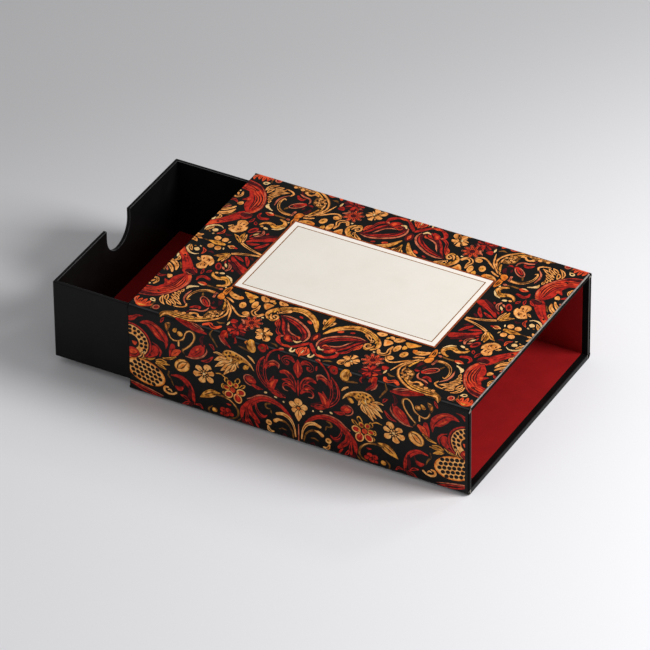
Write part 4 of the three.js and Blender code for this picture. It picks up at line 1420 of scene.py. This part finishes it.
fine_stroke(BROWN, [(-42.4, 1), (-43, 3.4), (-41.2, 5.4)], (0.4, 0.8, 0.4))
oval(GOLD, (-40, 3.8), 2.6, 2.4)
dot(SIDE_PEACH_LIT, (-40.1, 4.1), 1.2, 1)
blossom = motif("blossom")

# %% The side's leaf cluster
# The gold leaf cluster with its dotted back, and the buds over it.
patch(GOLD, [
    (-36, 32.6), (-35.4, 35.6), (-33, 37.4), (-29, 37), (-24.6, 35.2), (-21.6, 32.6), (-20.4, 30.4),
    (-22.4, 32.2), (-25.6, 33.4), (-28, 31.6), (-30.6, 29.8), (-33, 30.6),
])
for points, width in (
    ([(-35, 33.4), (-38.2, 34.2), (-40, 33.8)], 1.3),
    ([(-34, 32.6), (-37, 31.6), (-39.6, 30)], 2.6),
    ([(-32.6, 31.6), (-36, 29.4), (-39.3, 26.8)], 2.7),
    ([(-31.6, 30.6), (-34, 28), (-36.6, 25.6)], 2.6),
    ([(-30.6, 30.4), (-32.8, 27.2), (-35.2, 24)], 2.5),
    ([(-29.8, 30.8), (-30.4, 28.4), (-32.2, 26.4)], 2.2),
    ([(-28.6, 32.2), (-28.6, 30.8), (-28, 29.9)], 1.2),
):
    stroke(SIDE_PEACH_LIT, points, (0.8, width, width * 0.7, 0.4), veins=(0.1,))
for centre, size in (
    ((-33.8, 35.6), 1.3), ((-31.9, 36.2), 1.2), ((-32.4, 34.4), 1.4), ((-30.4, 34.8), 1.2),
    ((-29, 35.9), 1.1),
    ((-34.2, 33.6), 1.1), ((-31, 33), 1), ((-28.2, 34.4), 1.1), ((-26.4, 34.9), 0.9),
    ((-29.6, 33), 0.9),
):
    dot(BLACK, centre, size, size * 0.8, 30)
line(SIDE_PEACH_LIT, [
    (-34.8, 36.1), (-32.4, 37.2), (-29, 36.9), (-25, 35.4), (-22, 33), (-20.7, 30.8),
], (0.2, 0.6, 0.6, 0.7, 0.7, 0.3))
line(CREAM, [(-32.2, 31.4), (-31.4, 32.6), (-31.6, 33.8)], (0.3, 0.7, 0.3))
line(CREAM, [(-37, 29.8), (-35.2, 30.8)], (0, 0.5, 0))
patch(GOLD, [(-25.9, 30.4), (-24.8, 32.2), (-22.8, 32), (-23.6, 30.4), (-24.9, 29.7)])
stroke(SIDE_PEACH_LIT, [(-23.2, 37.5), (-21.6, 36.4), (-20.2, 34.8)], (0.6, 1.1, 0.5))
patch(GOLD, [(-23.8, 43.4), (-23, 46), (-20.8, 45.6), (-19.4, 42), (-20.8, 40), (-23, 40.6)])
line(SIDE_PEACH_LIT, [(-22.2, 45.6), (-20.6, 43), (-20.8, 41)], (0.3, 1, 0.3))
line(BROWN, [(-23.4, 44.6), (-23, 41.8)], (0.2, 0.6, 0))
fine_stroke(BROWN, [(-27.8, 41.2), (-25, 40.8), (-22.4, 40)], (0.4, 1, 0.5))
stroke(RED, [
    (-35.2, 45.6), (-35.6, 42.6), (-33.6, 40.6), (-31.8, 38.9),
], (2.6, 2.2, 1.4, 0.6), veins=(0.2,))
line(CORAL, [(-34.4, 45.8), (-34.3, 43.4)], (0.6, 1, 0.2))
line(PINK, [(-37.2, 43.4), (-36.2, 41.2), (-34.2, 39.6)], (0.3, 0.6, 0.3))
line(RED, [(-29.6, 44.6), (-29, 43), (-29.8, 42)], (0.5, 1, 0.4))
fine_stroke(BROWN, [(-40.6, 45), (-41.6, 42.6), (-40, 40), (-38.2, 37.2)], (0.4, 0.9, 0.8, 0.5))
fine_stroke(RED, [(-42, 37.4), (-40.8, 36.8), (-39.8, 35.2)], (0.5, 1.6, 0.6))
ring(PINK, (-22.6, 25.2), 6.4, 5.4, -25, 0.5)
patch(RED, [(-24.8, 26), (-22.6, 27.4), (-20.2, 26.4), (-19.6, 24.6), (-21.4, 23.6), (-23.6, 24.2)])
wash(CORAL, [(-23.8, 25.9), (-22.4, 26.5), (-21.4, 25.2), (-22.8, 24.8)])
stroke(RED, [(-21, 23.2), (-19, 22.4), (-16.3, 22.4)], (1.6, 1.6, 0.3), veins=(0.2,))
ring(RED, (-16.4, 43.8), 4, 3.9, 0, 1.2, inside=DEEP)
dot(BROWN, (-16.4, 44), 1, 0.9)
leaf_cluster = motif("leaf cluster")

# %% The side's daisy and berries
for points, width in (
    ([(-30, 20.6), (-29.6, 22.6), (-28.2, 24), (-27.4, 22.8), (-28.6, 20.8)], 0.7),
    ([(-28, 19), (-26.4, 21), (-25, 21.3), (-25.8, 19.8), (-27.6, 18.6)], 0.7),
    ([(-32.4, 21), (-34, 22.6), (-35, 21.2), (-34.2, 20)], 0.7),
    ([(-34.4, 18.6), (-36, 18.8), (-36.3, 17), (-35, 16.4)], 0.7),
    ([(-34.8, 15.4), (-35.8, 14.6), (-35.4, 13.2)], 0.6),
    ([(-34, 22), (-36.6, 23.6), (-39.4, 23.2)], 0.8),
):
    stroke(GOLD, points, (0.2, width * 0.75, width * 0.75, 0.2), rim=hair_rim_mm)
for centre, wide, high, tilt, rind in (
    ((-27, 17), 4.4, 3.6, 10, SIDE_PEACH_LIT), ((-28.6, 13.4), 4.1, 4.9, 20, SIDE_PEACH_LIT),
    ((-33, 14.3), 4.5, 3.7, 40, SIDE_PEACH_LIT),
    ((-34, 17.6), 3.6, 2.6, 0, GOLD), ((-32.4, 20.2), 2.8, 3.2, 30, GOLD),
    ((-29.4, 20), 2.6, 3, -20, GOLD),
):
    oval(rind, centre, wide, high, tilt)
    dot(RED, centre, wide - 1.1, high - 1.1, tilt)
line(CORAL, [(-29.2, 16.2), (-28.5, 13.6)], (0.3, 1, 0.4))
oval(CORAL, (-31, 17.2), 2.6, 2.7)
dot(ORANGE, (-28.5, 16.8), 1.2)
fine_stroke(BROWN, [
    (-40, 11.8), (-36.4, 12.3), (-32.4, 11.2), (-29.2, 8.4), (-28.4, 5.4), (-29.4, 3.2), (-33, 1.6),
], (0.5, 1, 1, 1.1, 1, 0.8, 0.5))
line(SIDE_PEACH_LIT, [(-35, 12.1), (-31.6, 10.8), (-28.9, 8)], (0, 0.4, 0))
for spot in (
    ((-36, 5.2), 2.8, 2.6, 20), ((-33.4, 5.6), 2.8, 2.4, -10), ((-32, 4), 2.6, 2, 0),
    ((-34.6, 3.2), 3.4, 2, 10), ((-36.6, 3), 1.8, 1.4, 0),
):
    oval(RED, *spot)
for at in ((-35.6, 5.2), (-33, 4.9), (-34.6, 3.6)):
    dot(DEEP, at, 0.9)
line(RED, [(-34.2, 9), (-33, 8.8), (-31.8, 9)], (0.3, 0.9, 0.3))
line(BROWN, [(-29.4, 1), (-28.4, 2.2), (-27.2, 3.6)], (0.4, 0.7, 0.4))
daisy = motif("daisy")

# %% The side's red palmette
# One half of the palmette of red leaves in the middle of the side.
fine_stroke(RED, [(-7, 46), (-11, 44.4), (-13.4, 41.6), (-14.4, 38)], (0.6, 0.7, 0.8, 0.8))
fine_stroke(RED, [
    (-15.4, 39.8), (-17.2, 37.6), (-18.6, 34), (-18.4, 30), (-16.4, 26.6), (-13, 23.8), (-9, 21.8),
    (-5.4, 21.8),
], (0.5, 1.1, 1.3, 1.3, 1.4, 1.4, 1.6, 0.4))
for at, tilt in (
    ((-16.4, 37), 0), ((-16.6, 34.6), 0), ((-16.7, 32.2), 10), ((-16.2, 29.8), 20),
    ((-15.4, 27.6), 30),
):
    dot(DEEP, at, 1.7, 1.2, tilt)
fine_stroke(RED, [
    (-15.2, 38.4), (-15.2, 35.4), (-15.4, 31.8), (-14.8, 28.4), (-13.2, 25),
], (0.6, 1.3, 1.4, 1.3, 2))
fine_stroke(RED, [(-14.8, 34.6), (-12.6, 37.2), (-10, 38), (-8.4, 36.6)], (1.8, 2.4, 2.2, 0.6))
line(CORAL, [(-13.4, 36.6), (-11.4, 37.6), (-9.8, 37.7)], (0.2, 0.9, 0.2))
line(PINK, [(-13.4, 38), (-10.6, 39.3), (-8.3, 38.2), (-8.6, 36)], (0.2, 0.6, 0.7, 0.3))
line(BLACK, [(-14.2, 32.6), (-13.6, 35), (-12.6, 36.2)], (0, 0.6, 0))
patch(RED, [
    (-14.4, 26.2), (-13.3, 28), (-11.4, 31), (-10.8, 31.2), (-11, 29.8), (-8.8, 30), (-9.6, 28),
    (-10.4, 25.6), (-11.6, 23.2), (-13.6, 23.4),
])
line(CORAL, [(-12.4, 25), (-11.8, 27.4), (-10.4, 29.2)], (0.4, 1.1, 0.2))
line(BLACK, [(-13.6, 26.6), (-12.4, 28.4)], (0, 0.5, 0))
fine_stroke(RED, [(-11.4, 24), (-9, 23.2), (-6.4, 21.6)], (0.6, 1.5, 0.3))
line(DEEP, [(-9.8, 25.2), (-7.4, 23.4), (-5, 22.6)], (0.3, 0.9, 0.2))
fine_stroke(RED, [
    (-0.9, 27), (-1.6, 31.4), (-3.4, 34.4), (-5.4, 35.3), (-7.4, 34.6),
], (0.6, 2.8, 2.8, 2.4, 1.4))
line(DEEP, [(-1.6, 30.6), (-3.4, 33.8), (-5.6, 34.6)], (0, 0.7, 0))
line(CORAL, [(-2.6, 34.4), (-4.4, 35.9), (-6.2, 35.7)], (0, 0.7, 0))
fine_stroke(RED, [(-1.2, 28.6), (-3, 31.4), (-6.8, 30.9)], (0.6, 2, 0.5))
fine_stroke(RED, [
    (-0.5, 26.6), (-2.2, 28.8), (-4.8, 29.4), (-6.4, 28), (-6.4, 26.4),
], (0.8, 2, 2.2, 1.3, 0.5))
line(CORAL, [(-2.4, 29.2), (-4.4, 29.8)], (0, 0.8, 0))
line(PINK, [(-6.6, 27.4), (-5.8, 26), (-4.2, 25.8)], (0.4, 0.6, 0.3))
stroke(RED, [
    (-0.7, 41.6), (-2.4, 43.1), (-4.8, 43.2), (-6.4, 41.6), (-5.6, 39.8), (-4, 39.8), (-3.7, 41),
    (-4.7, 41.2),
], (1, 2, 1.8, 1.4, 1.2, 1, 0.8, 0.5), rim=hair_rim_mm)
line(RED, [(-8.3, 43), (-8, 41)], (0.6, 1, 0.6))
oval(CREAM, (-15, 21.3), 1.6, 1, 15, rim=thin_rim_mm)
oval(CREAM, (-10.2, 20.5), 1.6, 0.8, -10, rim=thin_rim_mm)
oval(CREAM, (-6.3, 19.3), 0.9, 1, 20, rim=thin_rim_mm)
red_palmette = motif("red palmette")

# %% The side's arches
# The red arch under the palmette, with its leafy feet and the gold arcs inside it.
fine_stroke(PINK, [
    (-0.9, 3), (-1.2, 8), (-3.4, 13), (-7.4, 17), (-13, 19.3), (-18.4, 18.6), (-21.6, 16.4), (-24, 15),
], (0.6, 0.8, 0.8, 0.8, 0.8, 0.8, 0.7, 0.4))
fine_stroke(RED, [
    (-2, 10.4), (-4.6, 14), (-8.6, 17), (-13, 17.9), (-17.4, 17.2), (-21, 14.6), (-24, 11.6), (-26.4, 8.4),
    (-26.8, 4),
], (0.8, 1.6, 1.9, 2.3, 2.4, 2.8, 3, 2.2, 1), veins=(0.15,))
fine_stroke(RED, [(-22.4, 12.6), (-22.6, 9), (-20.4, 6.4), (-18.6, 4.6)], (1, 2.4, 2.4, 1.4), veins=(0,))
fine_stroke(RED, [(-24.6, 9.4), (-24.2, 6), (-24.8, 2.6)], (0.8, 1.4, 1.2))
fine_stroke(DEEP, [(-26.4, 4), (-25.6, 2), (-23.6, 1.6)], (0.8, 1.8, 0.8))
fine_stroke(RED, [(-23.4, 4.6), (-22.6, 2.8), (-21.4, 1.6)], (0.8, 1.5, 0.5))
fine_stroke(RED, [(-20.4, 4.4), (-19.2, 2.6), (-18.6, 1.4)], (0.6, 1, 0.5))
fine_stroke(RED, [
    (-19.9, 15), (-19.7, 11.8), (-18.2, 9.2), (-16, 8.3), (-14.6, 9.4),
], (0.4, 0.9, 1.2, 1.4, 0.6))
line(DEEP, [(-19.6, 9.4), (-17.6, 7.4), (-15.6, 7.6)], (0.4, 0.9, 0.3))
fine_stroke(SIDE_PEACH_LIT, [
    (-0.6, 3), (-1.4, 8), (-3.4, 11.4), (-6.6, 12.8), (-9.6, 12.1),
], (0.6, 0.9, 1.4, 1.7, 1.3), veins=(0.1,))
fine_stroke(BROWN, [
    (-1.7, 2), (-2.6, 6), (-5.4, 8.8), (-8.4, 9.2), (-10.4, 8.4),
], (0.6, 0.8, 0.9, 1.2, 1.2))
line(SIDE_PEACH_LIT, [(-7, 9.4), (-9, 9.2), (-10.6, 8)], (0.3, 1.3, 1.8))
oval(SIDE_PEACH_LIT, (-13.6, 6.2), 2.9, 2.8)
dot(GOLD, (-13.4, 6.1), 1.4, 1.2)
dot(BROWN, (-13.1, 6.1), 0.6)
stroke(SIDE_PEACH_LIT, [(-14, 4), (-13.6, 2.6), (-12.4, 1.9), (-11.3, 2.2)], (1, 1.4, 1.4, 0.8))
stroke(BROWN, [
    (-12.6, 16.2), (-14.6, 15.6), (-15.2, 14.4), (-14.2, 13.3), (-12.9, 13.4), (-12.4, 12), (-12.2, 11.4),
], (0.5, 0.9, 0.9, 0.8, 0.6, 0.8, 0.4), rim=hair_rim_mm)
line(BROWN, [(-8.8, 4.4), (-7, 5.2), (-5.2, 4.9)], (0.3, 0.7, 0.3))
line(DEEP, [(-7, 1), (-6.4, 2.6), (-4.8, 1.6)], (0.3, 0.8, 0.3))
red_arches = motif("red arches")

# %% The side's middle line
stroke(RED, [(0, 34.4), (0, 38.6), (0, 43.4)], (0.6, 4.6, 0.5), veins=(-0.35, 0.35))
line(CORAL, [(0, 36.4), (0, 41.6)], (0, 0.8, 0))
stroke(RED, [(0, 25), (0, 29), (0, 33)], (0.3, 1.1, 0.3), rim=hair_rim_mm)
for side in (-1, 1):
    oval(SIDE_PEACH_LIT, (side * 2.7, 19.6), 3.6, 3, side * 20)
    oval(SIDE_PEACH_LIT, (side * 1.9, 16.9), 2.8, 2.6, side * -20)
    line(BROWN, [(side * 0.8, 18.8), (side * 2.8, 19.6)], (0.6, 0.4, 0))
oval(SIDE_PEACH_LIT, (0, 21.6), 3.8, 3.6)
patch(SIDE_PEACH_LIT, [(0, 17.4), (1.7, 15), (0.9, 13), (0, 11.6), (-0.9, 13), (-1.7, 15)])
oval(ORANGE, (0, 18.4), 1.6)
dot(BROWN, (0, 20.6), 0.9, 0.7)
line(BROWN, [(0, 17), (0, 14.2)], (0.3, 0.5, 0))
line(PINK, [(0, 10), (0, 6), (0, 1)], (0.3, 0.6, 0.6))
side_middle = motif("side middle")

# %% [markdown]
# The printed sheet's artwork is drawn once for a quarter of the top and half of a side, and the
# printer's plate repeats it in mirror image. The shapes are put down in the order of the plates,
# so a later one covers an earlier one.

# %% Lay out the plates
def mirrored(shapes, across_x, across_y, middle_x=0, middle_y=0):
    """The shapes turned over at x = middle_x, at y = middle_y, or both, still anticlockwise."""
    turned = []
    for ink, outline in shapes:
        outline = [
            (2 * middle_x - x if across_x else x, 2 * middle_y - y if across_y else y)
            for x, y in outline
        ]
        turned.append((ink, outline[::-1] if across_x != across_y else outline))
    return turned


def moved(shapes, by):
    """The shapes, moved to the right by so much."""
    return [(ink, [(x + by, y) for x, y in outline]) for ink, outline in shapes]


quarter_top = (
    end_flowers + edge_palmette + red_frond + feather + crescent + corner_bud
    + gold_scroll + gold_arch + red_paisley + small_flowers
)
# The plates sit a little right of the board's middle, and the top's a little back of it.
middle_x = 0.8
middle_of_top = 1
down = moved(middle_along, middle_x)
top_plate = []
for flip_x in (False, True):
    for flip_y in (False, True):
        top_plate += mirrored(quarter_top, flip_x, flip_y, middle_x, middle_of_top)
for flip in (False, True):
    top_plate += mirrored(middle_across, flip, False, middle_x)
    top_plate += mirrored(down, False, flip, middle_x, middle_of_top)

half_side = pomegranates + tendril + blossom + leaf_cluster + daisy + red_arches + red_palmette
side_plate = half_side + mirrored(half_side, True, False, middle_x)
side_plate += moved(side_middle, middle_x)
print("The top's plate has", len(top_plate), "shapes, and a side's has", len(side_plate))

# %% Print the flat sheet
# A side is drawn upright, at its height on the box, and lies on the flat sheet by its path. The
# print is trimmed where the sheet folds over the ends of the boards.
side_zero = side_start + sleeve_top - edge_radius
front = [(ink, [(x, z - side_zero) for x, z in outline]) for ink, outline in side_plate]


def band(ink, low, high, v_start, v_end):
    """A printed band across the sheet between two distances from its middle."""
    return [(ink, [(low, v_start), (high, v_start), (high, v_end), (low, v_end)])]


# A paler grey band is painted along the middle of each round long edge: a painted highlight there.
round_length = edge_radius * pi / 2
sheet_print = []
for side in (-1, 1):
    low, high = sorted(side * (lap_mm + share * round_length) for share in (0.25, 0.5))
    sheet_print += band(LONG_EDGE_HIGHLIGHT, -flat_half, flat_half, low, high)
sheet_print += top_plate + front + mirrored(front, False, True)

# Past the ends of the boards the print is plain black. At the free mouth pale greys are painted along
# the top's outer fold and along the inner folds of the sides: painted highlights on these folds.
sheet_print += band(MATT, flat_half, tab_end, -sheet_half, sheet_half)
sheet_print += band(MATT, -tab_end, -flat_half, -sheet_half, sheet_half)
outer_round, lip_face, inner_round = [length for length, _ in mouth_fold[2][:3]]
inner_highlight_mm = 0.3
bare_mm = 1.35  # the black border of the sides along the mouth
inner_fold = flat_half + outer_round + lip_face
sheet_print += band(MOUTH_FOLD_HIGHLIGHT, flat_half, flat_half + outer_round, -lap_mm, lap_mm)
for low, high in ((leg_top, leg_foot), (-leg_foot, -leg_top)):
    sheet_print += band(BLACK, flat_half - bare_mm, flat_half, low, high)
    sheet_print += band(INNER_FOLD_HIGHLIGHT, inner_fold - inner_highlight_mm, inner_fold + inner_round / 2, low, high)
print("The print has", len(sheet_print), "shapes with", sum(len(o) for _, o in sheet_print), "points")

# %% [markdown]
# Each colour of the print is an offset ink on coated paper under a satin film. Solid areas of such
# ink are not quite even: they drift in tone over a few millimetres, more so in the shaded reds and
# golds, whose drawing has soft modelling. Every ink is the same recipe with its own two shades.

# %% The inks
def printed_ink(name, colour, shade):
    """An offset ink on coated paper, under a satin film."""
    return mottled(
        name, (colour, shade), cloud=(2.1, 2, 0.55), contrast=(0.36, 0.6), fibre=(0.9, 2),
        bump=(0.008, 0.5), sheen=(0.34, 0.42), gloss=0.12,
    )


ink_shades = {
    BLACK: ("#0b0a0a", "#100f0e"),
    DEEP: ("#30050a", "#5a0d12"),
    RED: ("#80130d", "#c4291a"),
    CORAL: ("#ae3016", "#ec5528"),
    PINK: ("#98442c", "#d97552"),
    GOLD: ("#84480c", "#f4a440"),
    ORANGE: ("#be5c16", "#f98f32"),
    PEACH: ("#c2742e", "#ffae60"),
    # The sides' peach is painted lighter than the top's: painted light on the long sides.
    SIDE_PEACH_LIT: ("#e08a3c", "#ffba6c"),
    CREAM: ("#d29c5a", "#f8cf90"),
    BROWN: ("#3c210b", "#8a561e"),
    UMBER: ("#180c05", "#321d0a"),
}
inks = {name: printed_ink(name, *shades) for name, shades in ink_shades.items()}
inks[MATT] = felted_paper(MATT, "#0c0b0b", "#121110", 0.75, gloss=0.02)
# A dark grey along the sides' inner folds at the free mouth: a painted highlight.
inks[INNER_FOLD_HIGHLIGHT] = felted_paper(INNER_FOLD_HIGHLIGHT, "#2c2b2a", "#403e3c", 0.5, gloss=0.2)
# A grey paler than the black ground, on the round long edges: a painted highlight.
inks[LONG_EDGE_HIGHLIGHT] = felted_paper(LONG_EDGE_HIGHLIGHT, "#1e1e1f", "#454547", 0.4, gloss=0.12, cloud_mm=12)
# A pale grey along the top's outer fold at the free mouth: a painted highlight.
inks[MOUTH_FOLD_HIGHLIGHT] = felted_paper(MOUTH_FOLD_HIGHLIGHT, "#4c4845", "#8f8982", 0.4, gloss=0.4, cloud_mm=3)
print("The printer mixed", len(ink_shades), "inks, and four more stand for the film at the folds")

# %% Fold the printed sheet over the sleeve
def on_bake_sheet(u, v, side):
    """A place for each point in a square image: the seen faces large, folds and back squeezed."""
    squeezed = 0.12
    back_strip = 0.04  # the foot of the image, for the sheet's back
    middle = 0.5
    reach = 0.495  # from the middle, which leaves a narrow margin
    wide = flat_half + (tab_end - flat_half) * squeezed
    high = tuck_start + (sheet_half - tuck_start) * squeezed
    across = min(abs(u), flat_half) + max(abs(u) - flat_half, 0) * squeezed
    up = min(abs(v), tuck_start) + max(abs(v) - tuck_start, 0) * squeezed
    x = middle + reach * across / wide * (1 if u > 0 else -1)
    y = middle + reach * up / high * (1 if v > 0 else -1)
    return (x, back_strip + y * (1 - back_strip)) if side > 0 else (x, y * back_strip)


printed_sheet = paper_piece(
    "printed_sheet", wrap_outline, wrap_creases, sheet_print, on_sleeve, paper_mm, inks,
    (dark_back_and_painted_shade, cut_edge), on_bake_sheet,
)
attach(printed_sheet, "sleeve")
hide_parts("sleeve_wrap")
print("The printed sheet has", len(printed_sheet.data.polygons), "faces")

# %% [markdown]
# The title panel is a bare cream label with two frame lines. It is cut from the same kind of flat
# sheet, and its frames are printed rectangles, one inside the other.

# %% The title panel
label_low, label_high = corners_mm("title_label")
label_middle = (label_low + label_high) / 2
label_half = (label_high - label_low) / 2
burnt_line_mm = 0.85
margin_mm = 3.1
fine_line_mm = 0.5


def rectangle(inset):
    """The label's outline, drawn in by so much."""
    x, y = label_half.x - inset, label_half.y - inset
    return [(-x, -y), (x, -y), (x, y), (-x, y)]


def on_label(u, v, depth):
    return (label_middle.x + u, label_middle.y + v, label_high.z - depth), (0, 0, 1)


label_inks = {
    "burnt_edge": printed_ink("burnt_sienna_ink", "#84340f", "#9c4a1c"),
    "margin": felted_paper("cream_label_paper", "#fff7ee", "#fbf1e6", 0.6, cloud_mm=14),
    "fine_line": printed_ink("sepia_ink", "#84552c", "#9c6c3c"),
    "field": felted_paper("ivory_label_paper", "#f3ede3", "#eee7dc", 0.6, cloud_mm=14),
}
label_frames = [
    ("margin", rectangle(burnt_line_mm)),
    ("fine_line", rectangle(margin_mm)),
    ("field", rectangle(margin_mm + fine_line_mm)),
]
title_panel = paper_piece(
    "title_panel", rectangle(0), [], label_frames, on_label, label_high.z - label_low.z,
    label_inks, (cut_edge, cut_edge),
)
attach(title_panel, "sleeve")
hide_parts("title_label")
print("The label measures", round(2 * label_half.x), "by", round(2 * label_half.y), "mm")

# %% [markdown]
# The black base sheet hides the tucked edges under the sleeve. At each mouth it folds up over the
# end of the bottom board and turns in along the floor, on the same path as the printed sheet.

# %% The base sheet
base_low, base_high = corners_mm("sleeve_base_paper")
base_fold = board_end(base_high.x, base_high.z)
base_flat_half = base_fold[0][0]
base_end = base_flat_half + sum(length for length, _ in base_fold[2])


def on_base(u, v, depth):
    beyond = abs(u) - base_flat_half
    sign_x = -1 if u < 0 else 1
    if beyond > 0:
        x, below, out_x, out_below = folded(base_fold, beyond, depth)
        return (sign_x * x, v, -below), (sign_x * out_x, 0, -out_below)
    return (u, v, depth), (0, 0, -1)


base_taper_mm = 0.8
tapered = base_high.y - base_taper_mm
right_side = [
    (base_flat_half, -base_high.y), (base_end, -tapered),
    (base_end, tapered), (base_flat_half, base_high.y),
]
base_outline = right_side + [(-u, -v) for u, v in right_side]
base_creases = []
for along in board_end_creases(base_fold):
    for side in (-1, 1):
        u = side * (base_flat_half + along)
        base_creases.append(((u, base_low.y - past_rim_mm), (u, base_high.y + past_rim_mm)))
base_sheet = paper_piece(
    "base_sheet", base_outline, base_creases, [], on_base, paper_mm, {"black": black_paper},
    (dark_back_and_painted_shade, cut_edge),
)
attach(base_sheet, "sleeve")
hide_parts("sleeve_base_paper")
print("The base sheet reaches", round(base_end, 1), "mm each way when flat")

# %% [markdown]
# The tray's black covering has the right shape in the frame, but paper folded over board is never
# sharp. A copy of its mesh is cleaned to plain faces, and two bevels round only the folds that show:
# wider at the four corners than along the rim, and fine round the thumb notch. Each bevel reads how
# much it may round an edge from that edge's own weight, so two sets of weights keep them apart. The
# folds on the cavity's side also take a light grey, glossier sheet, a painted highlight along them.

# %% Where the tray's folds show
tray_low, tray_high = corners_mm("tray_wrap")
tray_middle = (tray_low + tray_high) / 2
tray_half = (tray_high - tray_low) / 2
print("The tray measures", [round(v, 1) for v in tray_high - tray_low], "mm")
wall_mm = 1.64  # board and two sheets
fold_widths = {"corner": 0.6, "rim": 0.34, "notch": 0.22}
touching_mm = 0.02
floor_mm = 3  # from the tray's underside to above its floor
notch_zone_mm = 12  # the notch lies within this of the tray's middle
notch_chord_mm = 6  # the longest edge of the notch's round
sharp = radians(30)


def in_cavity(corner):
    """Whether a corner of the covering is on the walls that face the tray's inside."""
    away = corner - tray_middle
    shut_in = all(abs(away[a]) < tray_half[a] - wall_mm + touching_mm for a in (0, 1))
    return shut_in and corner.z > tray_low.z + floor_mm


def on_outside(corner):
    """Whether it is on the tray's own outside, and not on the covering's glued side."""
    away = corner - tray_middle
    gaps = [abs(abs(away[a]) - tray_half[a]) for a in (0, 1, 2)]
    return min(gaps) < touching_mm


# %% Say how far each fold is rounded
shaping = bmesh.new()
shaping.from_mesh(frame["nodes"]["tray_wrap"].data)
bmesh.ops.remove_doubles(shaping, verts=shaping.verts, dist=0.001 * MM)
bmesh.ops.dissolve_limit(
    shaping, angle_limit=radians(0.5), verts=shaping.verts, edges=shaping.edges
)
plain_weight = shaping.edges.layers.float.new("plain_fold")
highlight_weight = shaping.edges.layers.float.new("rubbed_fold")
rounded = 0
for edge in shaping.edges:
    edge.smooth = True
    if len(edge.link_faces) != 2:
        continue
    angle = edge.calc_face_angle_signed()
    if abs(angle) > sharp:
        edge.smooth = False
    if angle < sharp:
        continue
    ends = [vertex.co / MM for vertex in edge.verts]
    if not all(on_outside(end) or in_cavity(end) for end in ends):
        continue
    run = ends[1] - ends[0]
    upright = abs(run.z) > abs(run.x) + abs(run.y)
    on_end_wall = all(abs(end.y) < notch_zone_mm for end in ends)
    kind = "notch" if on_end_wall and (upright or abs(run.y) < notch_chord_mm) else "rim"
    if upright and not on_end_wall:
        kind = "corner"
    # The folds on the cavity's side get the weights of the painted highlight.
    weight = highlight_weight if all(in_cavity(end) for end in ends) else plain_weight
    edge[weight] = fold_widths[kind] / fold_widths["corner"]
    rounded += 1
covering_mesh = bpy.data.meshes.new("tray_covering")
shaping.to_mesh(covering_mesh)
shaping.free()
print("The covering has", rounded, "rounded folds")

# %% The tray's covering
# The second material is the light grey of the painted highlight.
for material in (black_paper, fold_highlight_grey):
    covering_mesh.materials.append(material)
tray_covering = link(bpy.data.objects.new("tray_covering", covering_mesh))
for place, weights in enumerate(("plain_fold", "rubbed_fold")):
    folds = tray_covering.modifiers.new(weights, "BEVEL")
    folds.limit_method = "WEIGHT"
    folds.edge_weight = weights
    folds.width = fold_widths["corner"] * MM
    folds.segments = 3
    folds.harden_normals = True
    folds.material = place
for polygon in covering_mesh.polygons:
    polygon.use_smooth = True
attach(tray_covering, "tray")
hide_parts("tray_wrap")
print("Its folds are rounded by", [folds.name for folds in tray_covering.modifiers])

# %% [markdown]
# The boards, the corner stays and the linings are plain flat pieces whose shape in the frame is
# already right, so they only get their finish. The frame's record says what each one is made of.

# %% The plain pieces
finish_of_slot = {
    "greyboard": greyboard,
    "printed_paper": dark_back_and_painted_shade,
    "black_paper": black_paper,
    "red_paper": red_paper,
    "cream_paper": dark_back_and_painted_shade,
    "stay_paper": stay_paper,
}
for subpart in frame["record"]["subparts"]:
    node = frame["nodes"][subpart["node"]]
    node.data.materials.clear()
    node.data.materials.append(finish_of_slot[subpart["material_slot"]])
